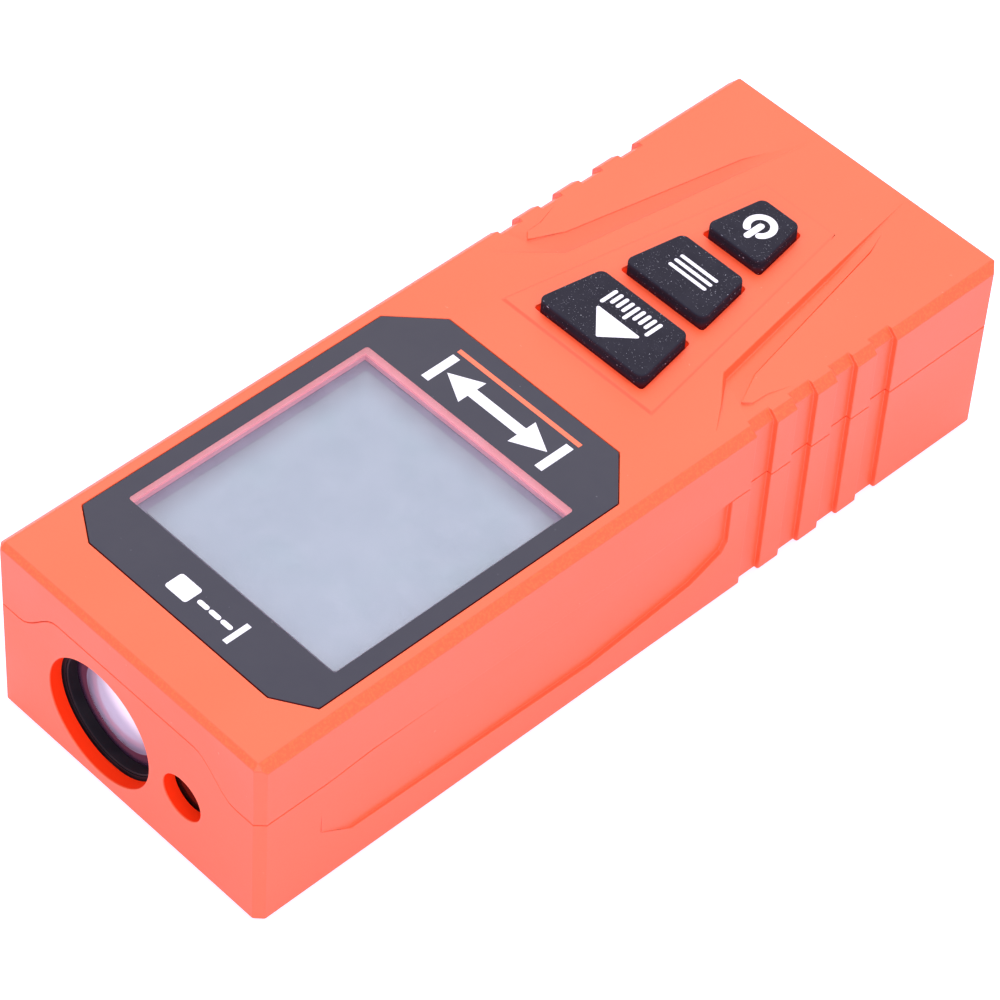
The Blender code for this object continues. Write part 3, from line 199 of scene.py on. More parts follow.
def flat_mesh(name, outlines, low, high):
    """Outlines filled and extruded between two heights; an outline inside another is a hole."""
    curve = bpy.data.curves.new(name, "CURVE")
    curve.dimensions = "2D"
    curve.fill_mode = "BOTH"
    curve.extrude = (high - low) / 2 * MM
    for outline in outlines:
        spline = curve.splines.new("POLY")
        spline.points.add(len(outline) - 1)
        spline.use_cyclic_u = True
        for point, (x, y) in zip(spline.points, outline):
            point.co = (x * MM, y * MM, 0, 1)
    obj = link_object(name, curve)
    bpy.context.view_layer.update()
    graph = bpy.context.evaluated_depsgraph_get()
    mesh = bpy.data.meshes.new_from_object(obj.evaluated_get(graph))
    bpy.data.objects.remove(obj, do_unlink=True)
    bm = bmesh.new()
    bm.from_mesh(mesh)
    bmesh.ops.translate(bm, vec=(0, 0, (low + high) / 2 * MM), verts=bm.verts)
    bmesh.ops.remove_doubles(bm, verts=bm.verts, dist=0.001 * MM)
    bmesh.ops.recalc_face_normals(bm, faces=bm.faces)
    bm.to_mesh(mesh)
    bm.free()
    return mesh


def stacked_mesh(name, rings):
    """Closed mesh through rings with equally many points, from bottom to top."""
    bm = bmesh.new()
    loops = [[bm.verts.new(Vector(p) * MM) for p in ring] for ring in rings]
    for lower, upper in zip(loops, loops[1:]):
        for i in range(len(lower)):
            bm.faces.new((lower[i - 1], lower[i], upper[i], upper[i - 1]))
    bm.faces.new(list(reversed(loops[0])))
    bm.faces.new(loops[-1])
    bmesh.ops.recalc_face_normals(bm, faces=bm.faces)
    return mesh_from(name, bm)


def turned_mesh(name, profile, centre, steps=96):
    """Body turned about an axis along Y through centre (x, z); profile is (radius, y).
    A profile that starts and ends at radius 0 is solid; any other closes on itself."""
    x, z = centre
    bm = bmesh.new()
    rows = []
    angles = [2 * pi * k / steps for k in range(steps)]
    for r, y in profile:
        if r == 0:
            rows.append([bm.verts.new(Vector((x, y, z)) * MM)] * steps)
        else:
            rows.append([bm.verts.new(Vector((x + r * cos(a), y, z + r * sin(a))) * MM)
                         for a in angles])
    if profile[0][0] > 0:
        rows.append(rows[0])
    for a, b in zip(rows, rows[1:]):
        for k in range(steps):
            corners = [a[k - 1], a[k], b[k], b[k - 1]]
            unique = [v for i, v in enumerate(corners) if v not in corners[:i]]
            if len(unique) > 2:
                bm.faces.new(unique)
    bmesh.ops.recalc_face_normals(bm, faces=bm.faces)
    return mesh_from(name, bm)


def softened_mesh(name, node, radius, is_outer):
    """A CAD part's mesh with its sharp outer edges rounded."""
    flat_angle, sharp_angle = radians(0.08), radians(24)
    bm = bmesh.new()
    bm.from_mesh(frame["nodes"][node].data)
    bmesh.ops.remove_doubles(bm, verts=bm.verts, dist=0.002 * MM)
    bmesh.ops.dissolve_limit(bm, angle_limit=flat_angle, verts=bm.verts, edges=bm.edges)
    edges = []
    for edge in bm.edges:
        middle = (edge.verts[0].co + edge.verts[1].co) / 2 / MM
        if edge.is_manifold and edge.calc_face_angle() > sharp_angle and is_outer(middle):
            edges.append(edge)
    bmesh.ops.bevel(bm, geom=edges, offset=radius * MM, offset_type="OFFSET", segments=3,
                    profile=0.5, affect="EDGES", clamp_overlap=False)
    return mesh_from(name, bm)


# ---------------------------------------------------------------- material building


class Look:
    """One node material around a Principled BSDF; texture coordinates are millimetres."""

    def __init__(self, name, colour, roughness, metallic=0.0):
        self.material = bpy.data.materials.new(name)
        self.material.use_nodes = True
        self.tree = self.material.node_tree
        self.shader = self.tree.nodes["Principled BSDF"]
        self.solid = self.shader.outputs[0]
        self.output = self.tree.nodes["Material Output"]
        self.normal = None
        coordinates = self.add("ShaderNodeTexCoord")
        to_mm = self.add("ShaderNodeVectorMath", operation="SCALE")
        to_mm.inputs["Scale"].default_value = 1 / MM
        self.link(coordinates.outputs["Object"], to_mm.inputs[0])
        self.place = to_mm.outputs[0]
        self.colour = self.constant(colour)
        self.roughness = self.number(roughness)
        self.shader.inputs["Metallic"].default_value = metallic

    def add(self, kind, **settings):
        node = self.tree.nodes.new(kind)
        for key, value in settings.items():
            setattr(node, key, value)
        return node

    def link(self, source, target):
        self.tree.links.new(source, target)

    def put(self, value, target):
        """Links a socket, or writes a plain value."""
        if isinstance(value, bpy.types.NodeSocket):
            self.link(value, target)
        else:
            target.default_value = value

    def constant(self, colour):
        node = self.add("ShaderNodeRGB")
        node.outputs[0].default_value = (*colour, 1.0)
        return node.outputs[0]

    def number(self, value):
        node = self.add("ShaderNodeValue")
        node.outputs[0].default_value = value
        return node.outputs[0]

    def maths(self, operation, *values):
        node = self.add("ShaderNodeMath", operation=operation)
        for value, target in zip(values, node.inputs):
            self.put(value, target)
        return node.outputs[0]

    def product(self, *factors):
        result = factors[0]
        for factor in factors[1:]:
            result = self.maths("MULTIPLY", result, factor)
        return result

    def stretched(self, x, y, z):
        """Coordinates with a scale of their own along each axis."""
        node = self.add("ShaderNodeVectorMath", operation="MULTIPLY")
        self.link(self.place, node.inputs[0])
        node.inputs[1].default_value = (x, y, z)
        return node.outputs[0]

    def noise(self, scale, detail=2.0, place=None):
        node = self.add("ShaderNodeTexNoise")
        self.link(place or self.place, node.inputs["Vector"])
        node.inputs["Scale"].default_value = scale
        node.inputs["Detail"].default_value = detail
        return node.outputs["Fac"]

    def axis(self, name):
        node = self.add("ShaderNodeSeparateXYZ")
        self.link(self.place, node.inputs[0])
        return node.outputs[name]

    def beside(self, centre):
        """Distance from an axis along Y through centre (x, z)."""
        squares = [self.maths("POWER", self.maths("SUBTRACT", self.axis(name), at), 2.0)
                   for name, at in zip("XZ", centre)]
        return self.maths("SQRT", self.maths("ADD", *squares))

    def spread(self, value, low, high, to_low=0.0, to_high=1.0):
        """Maps a range onto another, clamped and eased."""
        node = self.add("ShaderNodeMapRange", interpolation_type="SMOOTHSTEP")
        for amount, target in zip((value, low, high, to_low, to_high), node.inputs):
            self.put(amount, target)
        return node.outputs[0]

    def blend(self, amount, first, second):
        node = self.add("ShaderNodeMix", data_type="RGBA")
        self.put(amount, node.inputs[0])
        for value, target in ((first, node.inputs[6]), (second, node.inputs[7])):
            self.put(value if isinstance(value, bpy.types.NodeSocket) else (*value, 1.0), target)
        return node.outputs[2]

    def tint(self, amount, colour):
        """Moves the base colour towards another where amount is high."""
        self.colour = self.blend(amount, self.colour, colour)

    def patches(self, scale, detail, low, high, amount, colour):
        """Tints the places where a noise rises from low to high, by up to amount."""
        self.tint(self.spread(self.noise(scale, detail), low, high, 0.0, amount), colour)

    def shift_roughness(self, amount, change):
        self.roughness = self.maths("ADD", self.roughness, self.product(amount, change))

    def bump(self, height, distance):
        """Adds relief; distance is in millimetres."""
        node = self.add("ShaderNodeBump")
        node.inputs["Strength"].default_value = 1.0
        node.inputs["Distance"].default_value = distance * MM
        self.link(height, node.inputs["Height"])
        if self.normal is not None:
            self.link(self.normal, node.inputs["Normal"])
        self.normal = node.outputs[0]

    def edges(self, radius):
        """1 on edges and near 0 on flats, from the normal averaged over a small radius."""
        soft = self.add("ShaderNodeBevel", samples=4)
        soft.inputs["Radius"].default_value = radius * MM
        geometry = self.add("ShaderNodeNewGeometry")
        dot = self.add("ShaderNodeVectorMath", operation="DOT_PRODUCT")
        self.link(soft.outputs[0], dot.inputs[0])
        self.link(geometry.outputs["Normal"], dot.inputs[1])
        return self.spread(dot.outputs["Value"], 0.995, 0.90)

    def facing_up(self):
        """Z of the surface normal."""
        node = self.add("ShaderNodeSeparateXYZ")
        self.link(self.add("ShaderNodeNewGeometry").outputs["True Normal"], node.inputs[0])
        return node.outputs["Z"]

    def hollows(self, distance):
        """0 on open faces, rising to 1 inside recesses; it fades out near the floor."""
        node = self.add("ShaderNodeAmbientOcclusion", samples=6)
        node.inputs["Distance"].default_value = distance * MM
        shut = self.spread(node.outputs["AO"], 0.86, 0.50)
        return self.product(shut, self.spread(self.axis("Z"), 0.5, distance))

    def clear_shader(self, colour=(1.0, 1.0, 1.0)):
        node = self.add("ShaderNodeBsdfTransparent")
        node.inputs[0].default_value = (*colour, 1.0)
        return node.outputs[0]

    def mix_surfaces(self, share, first, second):
        """Sends a mix of two shaders to the surface; share is that of the second."""
        mix = self.add("ShaderNodeMixShader")
        self.put(share, mix.inputs[0])
        self.link(first, mix.inputs[1])
        self.link(second, mix.inputs[2])
        self.link(mix.outputs[0], self.output.inputs["Surface"])

    def set(self, **values):
        """Writes Principled inputs by name, with _ for a blank."""
        for key, value in values.items():
            self.put(value, self.shader.inputs[key.replace("_", " ")])

    def done(self):
        self.link(self.colour, self.shader.inputs["Base Color"])
        self.link(self.roughness, self.shader.inputs["Roughness"])
        if self.normal is not None:
            self.link(self.normal, self.shader.inputs["Normal"])
        return self.material


# ---------------------------------------------------------------- materials: case and keys

ORANGE = (0.94, 0.091, 0.009)
# Painted shade: the deeper orange of the walls of holes, of key apertures and of recesses around the
# keys.
SHADED_HOLLOW_ORANGE = (1.0, 0.036, 0.004)


def bore_walls(look):
    """1 on the walls of the two round holes in the lens face."""
    face, _ = box_mm("lower_housing")
    y = look.axis("Y")
    near_face = look.product(look.spread(y, face.y + 0.05, face.y + 0.25),
                             look.spread(y, face.y + BORE_DEPTH + 0.5, face.y + BORE_DEPTH))
    walls = 0.0
    for node, radius in (("receiver_lens", LENS_BORE), ("laser_window", LASER_BORE)):
        low, high = box_mm(node)
        distance = look.beside(((low.x + high.x) / 2, (low.z + high.z) / 2))
        wall = look.spread(distance, radius + 0.3, radius + 0.2)
        walls = look.maths("MAXIMUM", walls, look.product(wall, near_face))
    return walls


def around_keys(look):
    """1 in the cover close around the three keys, which share one tapering outline."""
    _, top = box_mm("display_window")
    low, high = box_mm("measure_key")
    _, rear = box_mm("power_key")
    front = low.y + KEY_FLANGE
    y = look.axis("Y")
    half = look.maths("MULTIPLY_ADD", look.maths("SUBTRACT", y, front), KEY_TAPER,
                      look.maths("ABSOLUTE", look.axis("X")))
    in_cover = look.spread(look.axis("Z"), top.z - COVER_DEPTH - 0.2, top.z - COVER_DEPTH)
    return look.product(look.spread(half, high.x + 0.6, high.x + 0.1),
                        look.spread(y, front - 1.0, front - 0.5),
                        look.spread(y, rear.y + 0.5, rear.y), in_cover)


def window_pocket(look):
    """1 on the cover's edges that frame the clear area of the display window."""
    _, y0, x1, y1 = clear_area()
    plate, _ = box_mm("display_window")
    near, far = 0.5, 0.6
    from_middle, y, z = look.maths("ABSOLUTE", look.axis("X")), look.axis("Y"), look.axis("Z")
    return look.product(look.spread(from_middle, x1 + far, x1 + near),
                        look.spread(y, y0 - far, y0 - near), look.spread(y, y1 + far, y1 + near),
                        look.spread(z, plate.z + 0.01, plate.z - 0.01),
                        look.spread(z, plate.z - COVER_DEPTH - 0.2, plate.z - COVER_DEPTH))


def orange_plastic():
    """Moulded ABS: spark-eroded grain, faint flow marks, polished edges, a little dust.
    Light and shade are painted in: recesses turn a paler orange, the walls of its holes and key
    apertures a deeper orange with a faint glow, its chamfers brighter and the panel's edge darker.
    The edges of the window pocket are painted the pink of the tape."""
    look = Look("orange_plastic", ORANGE, 0.48)
    flow = look.noise(0.06, 3.0, look.stretched(1.0, 0.35, 1.0))
    look.tint(look.spread(flow, 0.42, 0.70, 0.0, 0.35), (0.95, 0.108, 0.020))
    look.patches(5.0, 1.0, 0.55, 0.80, 0.35, (0.90, 0.062, 0.008))
    look.patches(1.6, 2.0, 0.77, 0.80, 0.30, (1.0, 0.32, 0.20))
    rim = look.edges(0.25)
    look.tint(look.product(rim, 0.25), (0.98, 0.115, 0.020))
    look.shift_roughness(rim, -0.05)

    _, top = box_mm("display_window")
    slope, z = look.facing_up(), look.axis("Z")
    raised = look.spread(z, top.z, top.z + 0.01)
    # Painted light: slanted chamfer faces, picked by the tilt of their normal, are tinted a brighter
    # orange, mottled by noise.
    chamfer = look.product(look.spread(slope, 0.50, 0.60), look.spread(slope, 0.92, 0.84),
                           look.maths("SUBTRACT", 1.0, raised))
    sparkle = look.spread(look.noise(3.5, 2.0), 0.46, 0.62, 0.25, 1.0)
    look.tint(look.product(chamfer, sparkle), (1.0, 0.128, 0.015))
    # Painted shade: slightly tilted faces above the cover's top, at the panel's edge, are tinted a
    # deeper orange.
    panel_edge = look.product(raised, look.spread(slope, 0.999, 0.985))
    look.tint(look.product(panel_edge, 0.45), (0.94, 0.060, 0.006))

    bores, keys = bore_walls(look), around_keys(look)
    apertures = look.product(keys, look.spread(z, top.z + 0.05, top.z - 0.15))
    holes = look.maths("MAXIMUM", bores, apertures)
    # Painted light and shade in recesses: where ambient occlusion finds a recess, the orange turns
    # paler and pinker.
    hollow = look.hollows(4.0)
    look.tint(look.product(hollow, 0.6), (1.0, 0.150, 0.055))
    recess = look.product(hollow, look.spread(keys, 0.0, 1.0, 0.0, 0.50))
    deep = look.maths("MAXIMUM", recess, holes)
    # Painted shade: the bore walls, the walls of the key apertures and the recesses around the keys
    # turn a deeper orange.
    look.tint(deep, SHADED_HOLLOW_ORANGE)
    look.tint(look.product(window_pocket(look), 0.9), (1.0, 0.40, 0.46))
    look.shift_roughness(look.spread(flow, 0.35, 0.65), 0.06)
    look.bump(look.noise(3.2, 3.0), 0.012)
    look.bump(look.noise(0.25, 2.0), 0.02)
    # Painted glow: the key apertures and, more faintly, the bore walls emit a deep orange light
    # though they are no lamp; the deeper walls also reflect less.
    glow = look.maths("MULTIPLY_ADD", apertures, 0.35, look.product(holes, 0.10))
    look.set(Specular_IOR_Level=look.maths("MULTIPLY_ADD", deep, -0.85, 0.9),
             Emission_Color=(1.0, 0.045, 0.012, 1.0), Emission_Strength=glow)
    return look.done()


def silicone():
    """Matte silicone with dust specks and short lint fibres; its foot is painted with the orange
    light that the case reflects onto it.
    """
    look = Look("black_rubber", (0.018, 0.017, 0.027), 0.62)
    look.patches(0.5, 3.0, 0.35, 0.70, 0.5, (0.025, 0.024, 0.036))
    specks = look.spread(look.noise(8.0, 1.0), 0.73, 0.78, 0.0, 0.75)
    specks = look.product(specks, look.spread(look.noise(0.8, 1.0), 0.40, 0.58, 0.35, 1.0))
    lengthwise = look.noise(3.0, 1.0, look.stretched(0.7, 4.0, 1.0))
    crosswise = look.noise(3.0, 1.0, look.stretched(4.0, 0.8, 1.0))
    fibres = look.spread(lengthwise, 0.745, 0.78, 0.0, 0.60)
    crossing = look.spread(crosswise, 0.755, 0.79, 0.0, 0.55)
    lint = look.maths("MAXIMUM", look.maths("MAXIMUM", specks, fibres), crossing)
    _, cover = box_mm("display_window")
    z = look.axis("Z")
    # Painted reflection: towards the cover, the foot of each cap is tinted dark red, as if lit by the
    # orange case.
    look.tint(look.spread(z, cover.z + 0.75, cover.z - 0.1, 0.0, 0.6), (0.12, 0.006, 0.004))
    look.tint(lint, (0.75, 0.77, 0.85))
    look.shift_roughness(look.noise(1.5, 2.0), 0.12)
    look.bump(look.noise(9.0, 2.0), 0.006)
    look.set(Specular_IOR_Level=look.spread(z, cover.z + 1.0, cover.z + 1.35, 0.04, 0.15))
    return look.done()


def white_ink():
    look = Look("white_ink", (0.88, 0.88, 0.92), 0.55)
    look.patches(2.5, 3.0, 0.45, 0.75, 0.25, (0.78, 0.78, 0.84))
    look.bump(look.noise(9.0, 2.0), 0.003)
    return look.done()


def orange_ink():
    look = Look("orange_ink", (0.90, 0.16, 0.07), 0.35)
    look.patches(2.5, 3.0, 0.45, 0.75, 0.3, (0.80, 0.12, 0.05))
    look.bump(look.noise(9.0, 2.0), 0.002)
    return look.done()


# ---------------------------------------------------------------- materials: display

GUIDED_LIGHT = 0.9        # share of light that the clear plate guides in under its print


def window_print():
    """Dark, slightly hazy print; the light guided below it reaches the tape and the well."""
    look = Look("window_print", (0.001, 0.0005, 0.024), 0.28)
    look.patches(0.12, 2.0, 0.35, 0.70, 0.5, (0.006, 0.005, 0.028))
    look.patches(2.2, 1.0, 0.79, 0.82, 0.25, (0.30, 0.30, 0.35))
    look.shift_roughness(look.noise(0.8, 3.0), 0.12)
    look.bump(look.noise(0.7, 1.0), 0.002)
    shadow = look.add("ShaderNodeLightPath").outputs["Is Shadow Ray"]
    look.mix_surfaces(look.product(shadow, GUIDED_LIGHT), look.solid, look.clear_shader())
    return look.done()


def clear_pane():
    """Clear plastic: light passes straight, the surface mirrors a little and is faintly hazy."""
    look = Look("clear_pane", (0.80, 0.82, 0.90), 0.10)
    look.shift_roughness(look.noise(0.9, 3.0), 0.10)
    look.bump(look.noise(0.5, 1.0), 0.001)
    haze = look.spread(look.noise(0.3, 3.0), 0.30, 0.75, 0.02, 0.06)
    mirror = look.add("ShaderNodeFresnel")
    mirror.inputs["IOR"].default_value = 1.45
    shadow = look.add("ShaderNodeLightPath").outputs["Is Shadow Ray"]
    inside = look.add("ShaderNodeNewGeometry").outputs["Backfacing"]
    shown = look.maths("SUBTRACT", 1.0, look.maths("MAXIMUM", shadow, inside))
    share = look.product(look.maths("ADD", mirror.outputs[0], haze), shown)
    look.mix_surfaces(share, look.clear_shader((0.95, 0.96, 0.98)), look.solid)
    return look.done()


def clear_tape():
    """Milky double-sided tape; the orange below it shows through as pink."""
    look = Look("clear_tape", (1.0, 0.42, 0.45), 0.45)
    look.patches(0.5, 3.0, 0.35, 0.70, 0.6, (1.0, 0.35, 0.38))
    look.shift_roughness(look.noise(1.5, 2.0), 0.15)
    look.bump(look.noise(2.0, 2.0), 0.004)
    # Painted glow: a faint pink emission stands for the light that the clear plate guides in under
    # its print.
    look.set(Emission_Color=(1.0, 0.42, 0.44, 1.0), Emission_Strength=0.22)
    look.mix_surfaces(0.75, look.clear_shader(), look.solid)
    return look.done()


def lcd_film():
    """Unlit liquid crystal: pale blue grey, uneven, and greyer towards its left and rear edges,
    where a shadow of the print border is painted on.
    """
    look = Look("lcd_film", (0.372, 0.415, 0.435), 0.36)
    look.patches(0.045, 2.0, 0.35, 0.70, 0.7, (0.400, 0.440, 0.460))
    look.patches(0.11, 3.0, 0.45, 0.75, 0.45, (0.345, 0.425, 0.425))
    # Painted shadow: the print border's shade falls on the film near its left and rear edges.
    left, _, _, rear = clear_area()
    start, end = LCD_BORDER + 3.0, LCD_BORDER - 0.6
    greyer = look.maths("MAXIMUM", look.spread(look.axis("X"), left + start, left + end),
                        look.spread(look.axis("Y"), rear - start, rear - end))
    look.tint(look.product(greyer, 0.9), (0.295, 0.295, 0.315))
    look.shift_roughness(look.noise(0.4, 2.0), 0.12)
    look.bump(look.noise(4.0, 1.0), 0.0008)
    look.set(Specular_IOR_Level=0.25)
    return look.done()


def lcd_glass():
    """Grey rim of the display glass around the film."""
    look = Look("lcd_grey", (0.280, 0.255, 0.310), 0.30)
    look.patches(0.15, 2.0, 0.40, 0.70, 0.5, (0.310, 0.275, 0.340))
    look.shift_roughness(look.noise(0.8, 2.0), 0.10)
    look.bump(look.noise(2.0, 1.0), 0.001)
    return look.done()


# ---------------------------------------------------------------- materials: optics


def lens_coating(centre, lens_radius):
    """Moulded lens: lilac, with a painted highlight that makes it brighter at its upper right,
    inside a purple-brown flange.
    """
    look = Look("lens_coating", (0.32, 0.29, 0.37), 0.10)
    radius = look.beside(centre)
    x = look.maths("SUBTRACT", look.axis("X"), centre[0])
    z = look.maths("SUBTRACT", look.axis("Z"), centre[1])
    # Painted highlight: the lens brightens towards white along a line to its upper right.
    across = look.maths("ADD", look.product(x, 0.55), look.product(z, 0.84))
    look.tint(look.spread(across, -2.0, 1.6, 0.0, 0.75), (0.50, 0.46, 0.54))
    look.tint(look.spread(across, 0.6, 3.0), (1.0, 0.92, 0.93))
    look.tint(look.spread(look.noise(0.6, 2.0, look.stretched(1.0, 1.0, 2.0)), 0.50, 0.75, 0.0, 0.2),
              (0.45, 0.40, 0.52))
    flange = look.spread(radius, lens_radius - 0.05, lens_radius + 0.05)
    look.tint(flange, (0.150, 0.045, 0.075))
    look.tint(look.spread(radius, lens_radius + 0.7, lens_radius + 1.3), (0.045, 0.018, 0.040))
    look.shift_roughness(look.noise(1.0, 2.0), 0.05)
    look.bump(look.noise(1.5, 1.0), 0.0008)
    look.set(Specular_IOR_Level=0.25, Coat_Weight=0.10, Coat_Roughness=0.05)
    return look.done()


def coated_glass():
    look = Look("glass", (0.70, 0.68, 0.82), 0.06)
    look.patches(0.5, 2.0, 0.4, 0.7, 0.4, (0.60, 0.62, 0.80))
    look.shift_roughness(look.noise(2.0, 2.0), 0.05)
    look.bump(look.noise(3.0, 1.0), 0.0005)
    look.set(Transmission_Weight=0.85, IOR=1.50)
    return look.done()


def dark_red_glass():
    """Filter glass that looks nearly black from outside."""
    look = Look("laser_window_glass", (0.020, 0.004, 0.004), 0.12)
    look.patches(0.8, 2.0, 0.4, 0.7, 0.6, (0.040, 0.006, 0.005))
    look.shift_roughness(look.noise(2.0, 2.0), 0.08)
    look.bump(look.noise(3.0, 1.0), 0.0005)
    return look.done()


# ---------------------------------------------------------------- materials: inside parts


def moulded(name, colour, roughness, grain=4.0, depth=0.006, specular=0.5):
    """Plain moulded plastic with fine grain, paler edges and uneven gloss."""
    look = Look(name, colour, roughness)
    paler = tuple(min(1.0, c * 1.25 + 0.01) for c in colour)
    look.patches(0.3, 3.0, 0.40, 0.75, 0.5, paler)
    rim = look.edges(0.2)
    look.tint(look.product(rim, 0.35), tuple(min(1.0, c * 1.6 + 0.02) for c in colour))
    look.shift_roughness(look.noise(1.2, 2.0), 0.12)
    look.bump(look.noise(grain, 2.0), depth)
    look.set(Specular_IOR_Level=specular)
    return look.done()


def metal(name, colour, roughness):
    """Brushed or drawn metal with fine streaks along X and duller stains."""
    look = Look(name, colour, roughness, 1.0)
    streaks = look.noise(1.2, 3.0, look.stretched(1.0, 12.0, 1.0))
    look.tint(look.spread(streaks, 0.35, 0.70, 0.0, 0.5), tuple(c * 0.72 for c in colour))
    stains = look.spread(look.noise(0.5, 3.0), 0.55, 0.80, 0.0, 0.35)
    look.tint(stains, tuple(c * 0.5 for c in colour))
    look.shift_roughness(streaks, 0.18)
    look.bump(streaks, 0.003)
    return look.done()


def solder_mask():
    """Green board with lighter tracks and tinned pads."""
    look = Look("board_green", (0.012, 0.115, 0.045), 0.35)
    for scale, offset in ((0.55, 0.0), (0.8, 3.7)):
        tracks = look.add("ShaderNodeTexBrick")
        shifted = look.add("ShaderNodeVectorMath", operation="ADD")
        look.link(look.place, shifted.inputs[0])
        shifted.inputs[1].default_value = (offset, offset, 0)
        look.link(shifted.outputs[0], tracks.inputs["Vector"])
        tracks.inputs["Scale"].default_value = scale
        tracks.inputs["Mortar Size"].default_value = 0.035
        look.tint(look.product(tracks.outputs["Fac"], 0.6), (0.03, 0.22, 0.09))
    pads = look.add("ShaderNodeTexVoronoi")
    look.link(look.place, pads.inputs["Vector"])
    pads.inputs["Scale"].default_value = 0.7
    look.tint(look.spread(pads.outputs["Distance"], 0.20, 0.16), (0.55, 0.55, 0.50))
    look.shift_roughness(look.noise(1.5, 2.0), 0.12)
    look.bump(look.noise(1.0, 2.0), 0.006)
    return look.done()


def cell_sleeve():
    """Printed sleeve: dark blue with a copper band at each end."""
    low, high = box_mm("battery_right")
    look = Look("cell_label", (0.030, 0.075, 0.210), 0.28)
    y, band = look.axis("Y"), 11.0
    for edge, toward in ((low.y + band, -1), (high.y - band, 1)):
        look.tint(look.spread(y, edge, edge + 0.15 * toward), (0.62, 0.27, 0.10))
    look.patches(0.2, 2.0, 0.4, 0.7, 0.3, (0.05, 0.11, 0.27))
    look.shift_roughness(look.noise(0.9, 3.0), 0.15)
    look.bump(look.noise(0.8, 3.0), 0.01)
    look.set(Coat_Weight=0.5, Coat_Roughness=0.1)
    return look.done()


def film_label():
    """Blank silver film with a printed frame line, set in from its outline by gap."""
    low, high = box_mm("rating_label")
    look = Look("paper_label", (0.62, 0.62, 0.63), 0.42)
    middle, half, gap = (low + high) / 2, (high - low) / 2, 0.9
    sides = []
    for axis, index in (("X", 0), ("Y", 1)):
        away = look.maths("ABSOLUTE", look.maths("SUBTRACT", look.axis(axis), middle[index]))
        sides.append(look.maths("SUBTRACT", half[index] - gap, away))
    inset = look.maths("MINIMUM", *sides)
    line = look.spread(look.maths("ABSOLUTE", inset), 0.16, 0.12)
    look.tint(line, (0.05, 0.05, 0.055))
    look.tint(look.spread(look.noise(1.0, 3.0, look.stretched(8.0, 0.4, 1.0)), 0.4, 0.7, 0.0, 0.3),
              (0.72, 0.72, 0.73))
    look.shift_roughness(look.noise(1.5, 2.0), 0.12)
    look.bump(look.noise(2.5, 2.0), 0.003)
    return look.done()


# The record's material slots, and the white ink of the prints.
FINISHES = {
    "orange_plastic": orange_plastic,
    "black_rubber": silicone,
    "black_plastic": lambda: moulded("black_plastic", (0.009, 0.008, 0.011), 0.45, specular=0.2),
    "white_plastic": lambda: moulded("white_plastic", (0.72, 0.72, 0.70), 0.40),
    "window_print": window_print,
    "lcd_grey": lcd_glass,
    "board_green": solder_mask,
    "chip_black": lambda: moulded("chip_black", (0.015, 0.015, 0.016), 0.45, 8.0, 0.008),
    "glass": coated_glass,
    "steel": lambda: metal("steel", (0.62, 0.62, 0.60), 0.28),
    "brass": lambda: metal("brass", (0.78, 0.55, 0.22), 0.26),
    "cell_label": cell_sleeve,
    "red_wire": lambda: moulded("red_wire", (0.50, 0.020, 0.015), 0.35),
    "black_wire": lambda: moulded("black_wire", (0.015, 0.015, 0.016), 0.35),
    "ribbon": lambda: moulded("ribbon", (0.55, 0.22, 0.03), 0.30, 1.0, 0.01),
    "paper_label": film_label,
    "white_ink": white_ink,
}
MATERIALS = {slot: build() for slot, build in FINISHES.items()}


def dress_cad_parts():
    """Every CAD node takes the finish that the record names for it; two take one of their own."""
    for part in frame["record"]["subparts"]:
        mesh = frame["nodes"][part["node"]].data
        mesh.materials.clear()
        mesh.materials.append(MATERIALS[part["material_slot"]])
        mesh.shade_smooth()
        mesh.set_sharp_from_angle(angle=radians(30))
    for node, material in (("laser_window", dark_red_glass()), ("window_adhesive", clear_tape())):
        frame["nodes"][node].data.materials.clear()
        frame["nodes"][node].data.materials.append(material)


# ---------------------------------------------------------------- the case


def build_case():
    """Cover, housing and door with softly rounded outer edges."""
    _, side = box_mm("top_cover")
    _, top = box_mm("display_window")
    skin = 0.75               # an edge counts as outer when it lies this close to the outside

    def at_side(p):
        return abs(p.x) > side.x - skin or abs(p.y) > side.y - skin

    for name, node, radius, is_outer in (
            ("upper_shell", "top_cover", 0.10, lambda p: at_side(p) or p.z > top.z - skin),
            ("lower_shell", "lower_housing", 0.09, lambda p: at_side(p) or p.z < skin / 2),
            ("battery_lid", "battery_door", 0.08, lambda p: p.z < skin)):
        mesh = softened_mesh(name, node, radius, is_outer)
        piece = add_piece(name, mesh, MATERIALS["orange_plastic"], body_with(node),
                          "orange_plastic", node)
        shade(piece)


# ---------------------------------------------------------------- display


def window_outline():
    """A rectangle with its corners cut off, less at the lens end and more at the key end."""
    low, high = box_mm("display_window")
    front_x, front_y, rear_x, rear_y = 4.1, 2.6, 4.75, 4.8
    right = [(high.x - front_x, low.y), (high.x, low.y + front_y),
             (high.x, high.y - rear_y), (high.x - rear_x, high.y)]
    return right + [(-x, y) for x, y in reversed(right)]


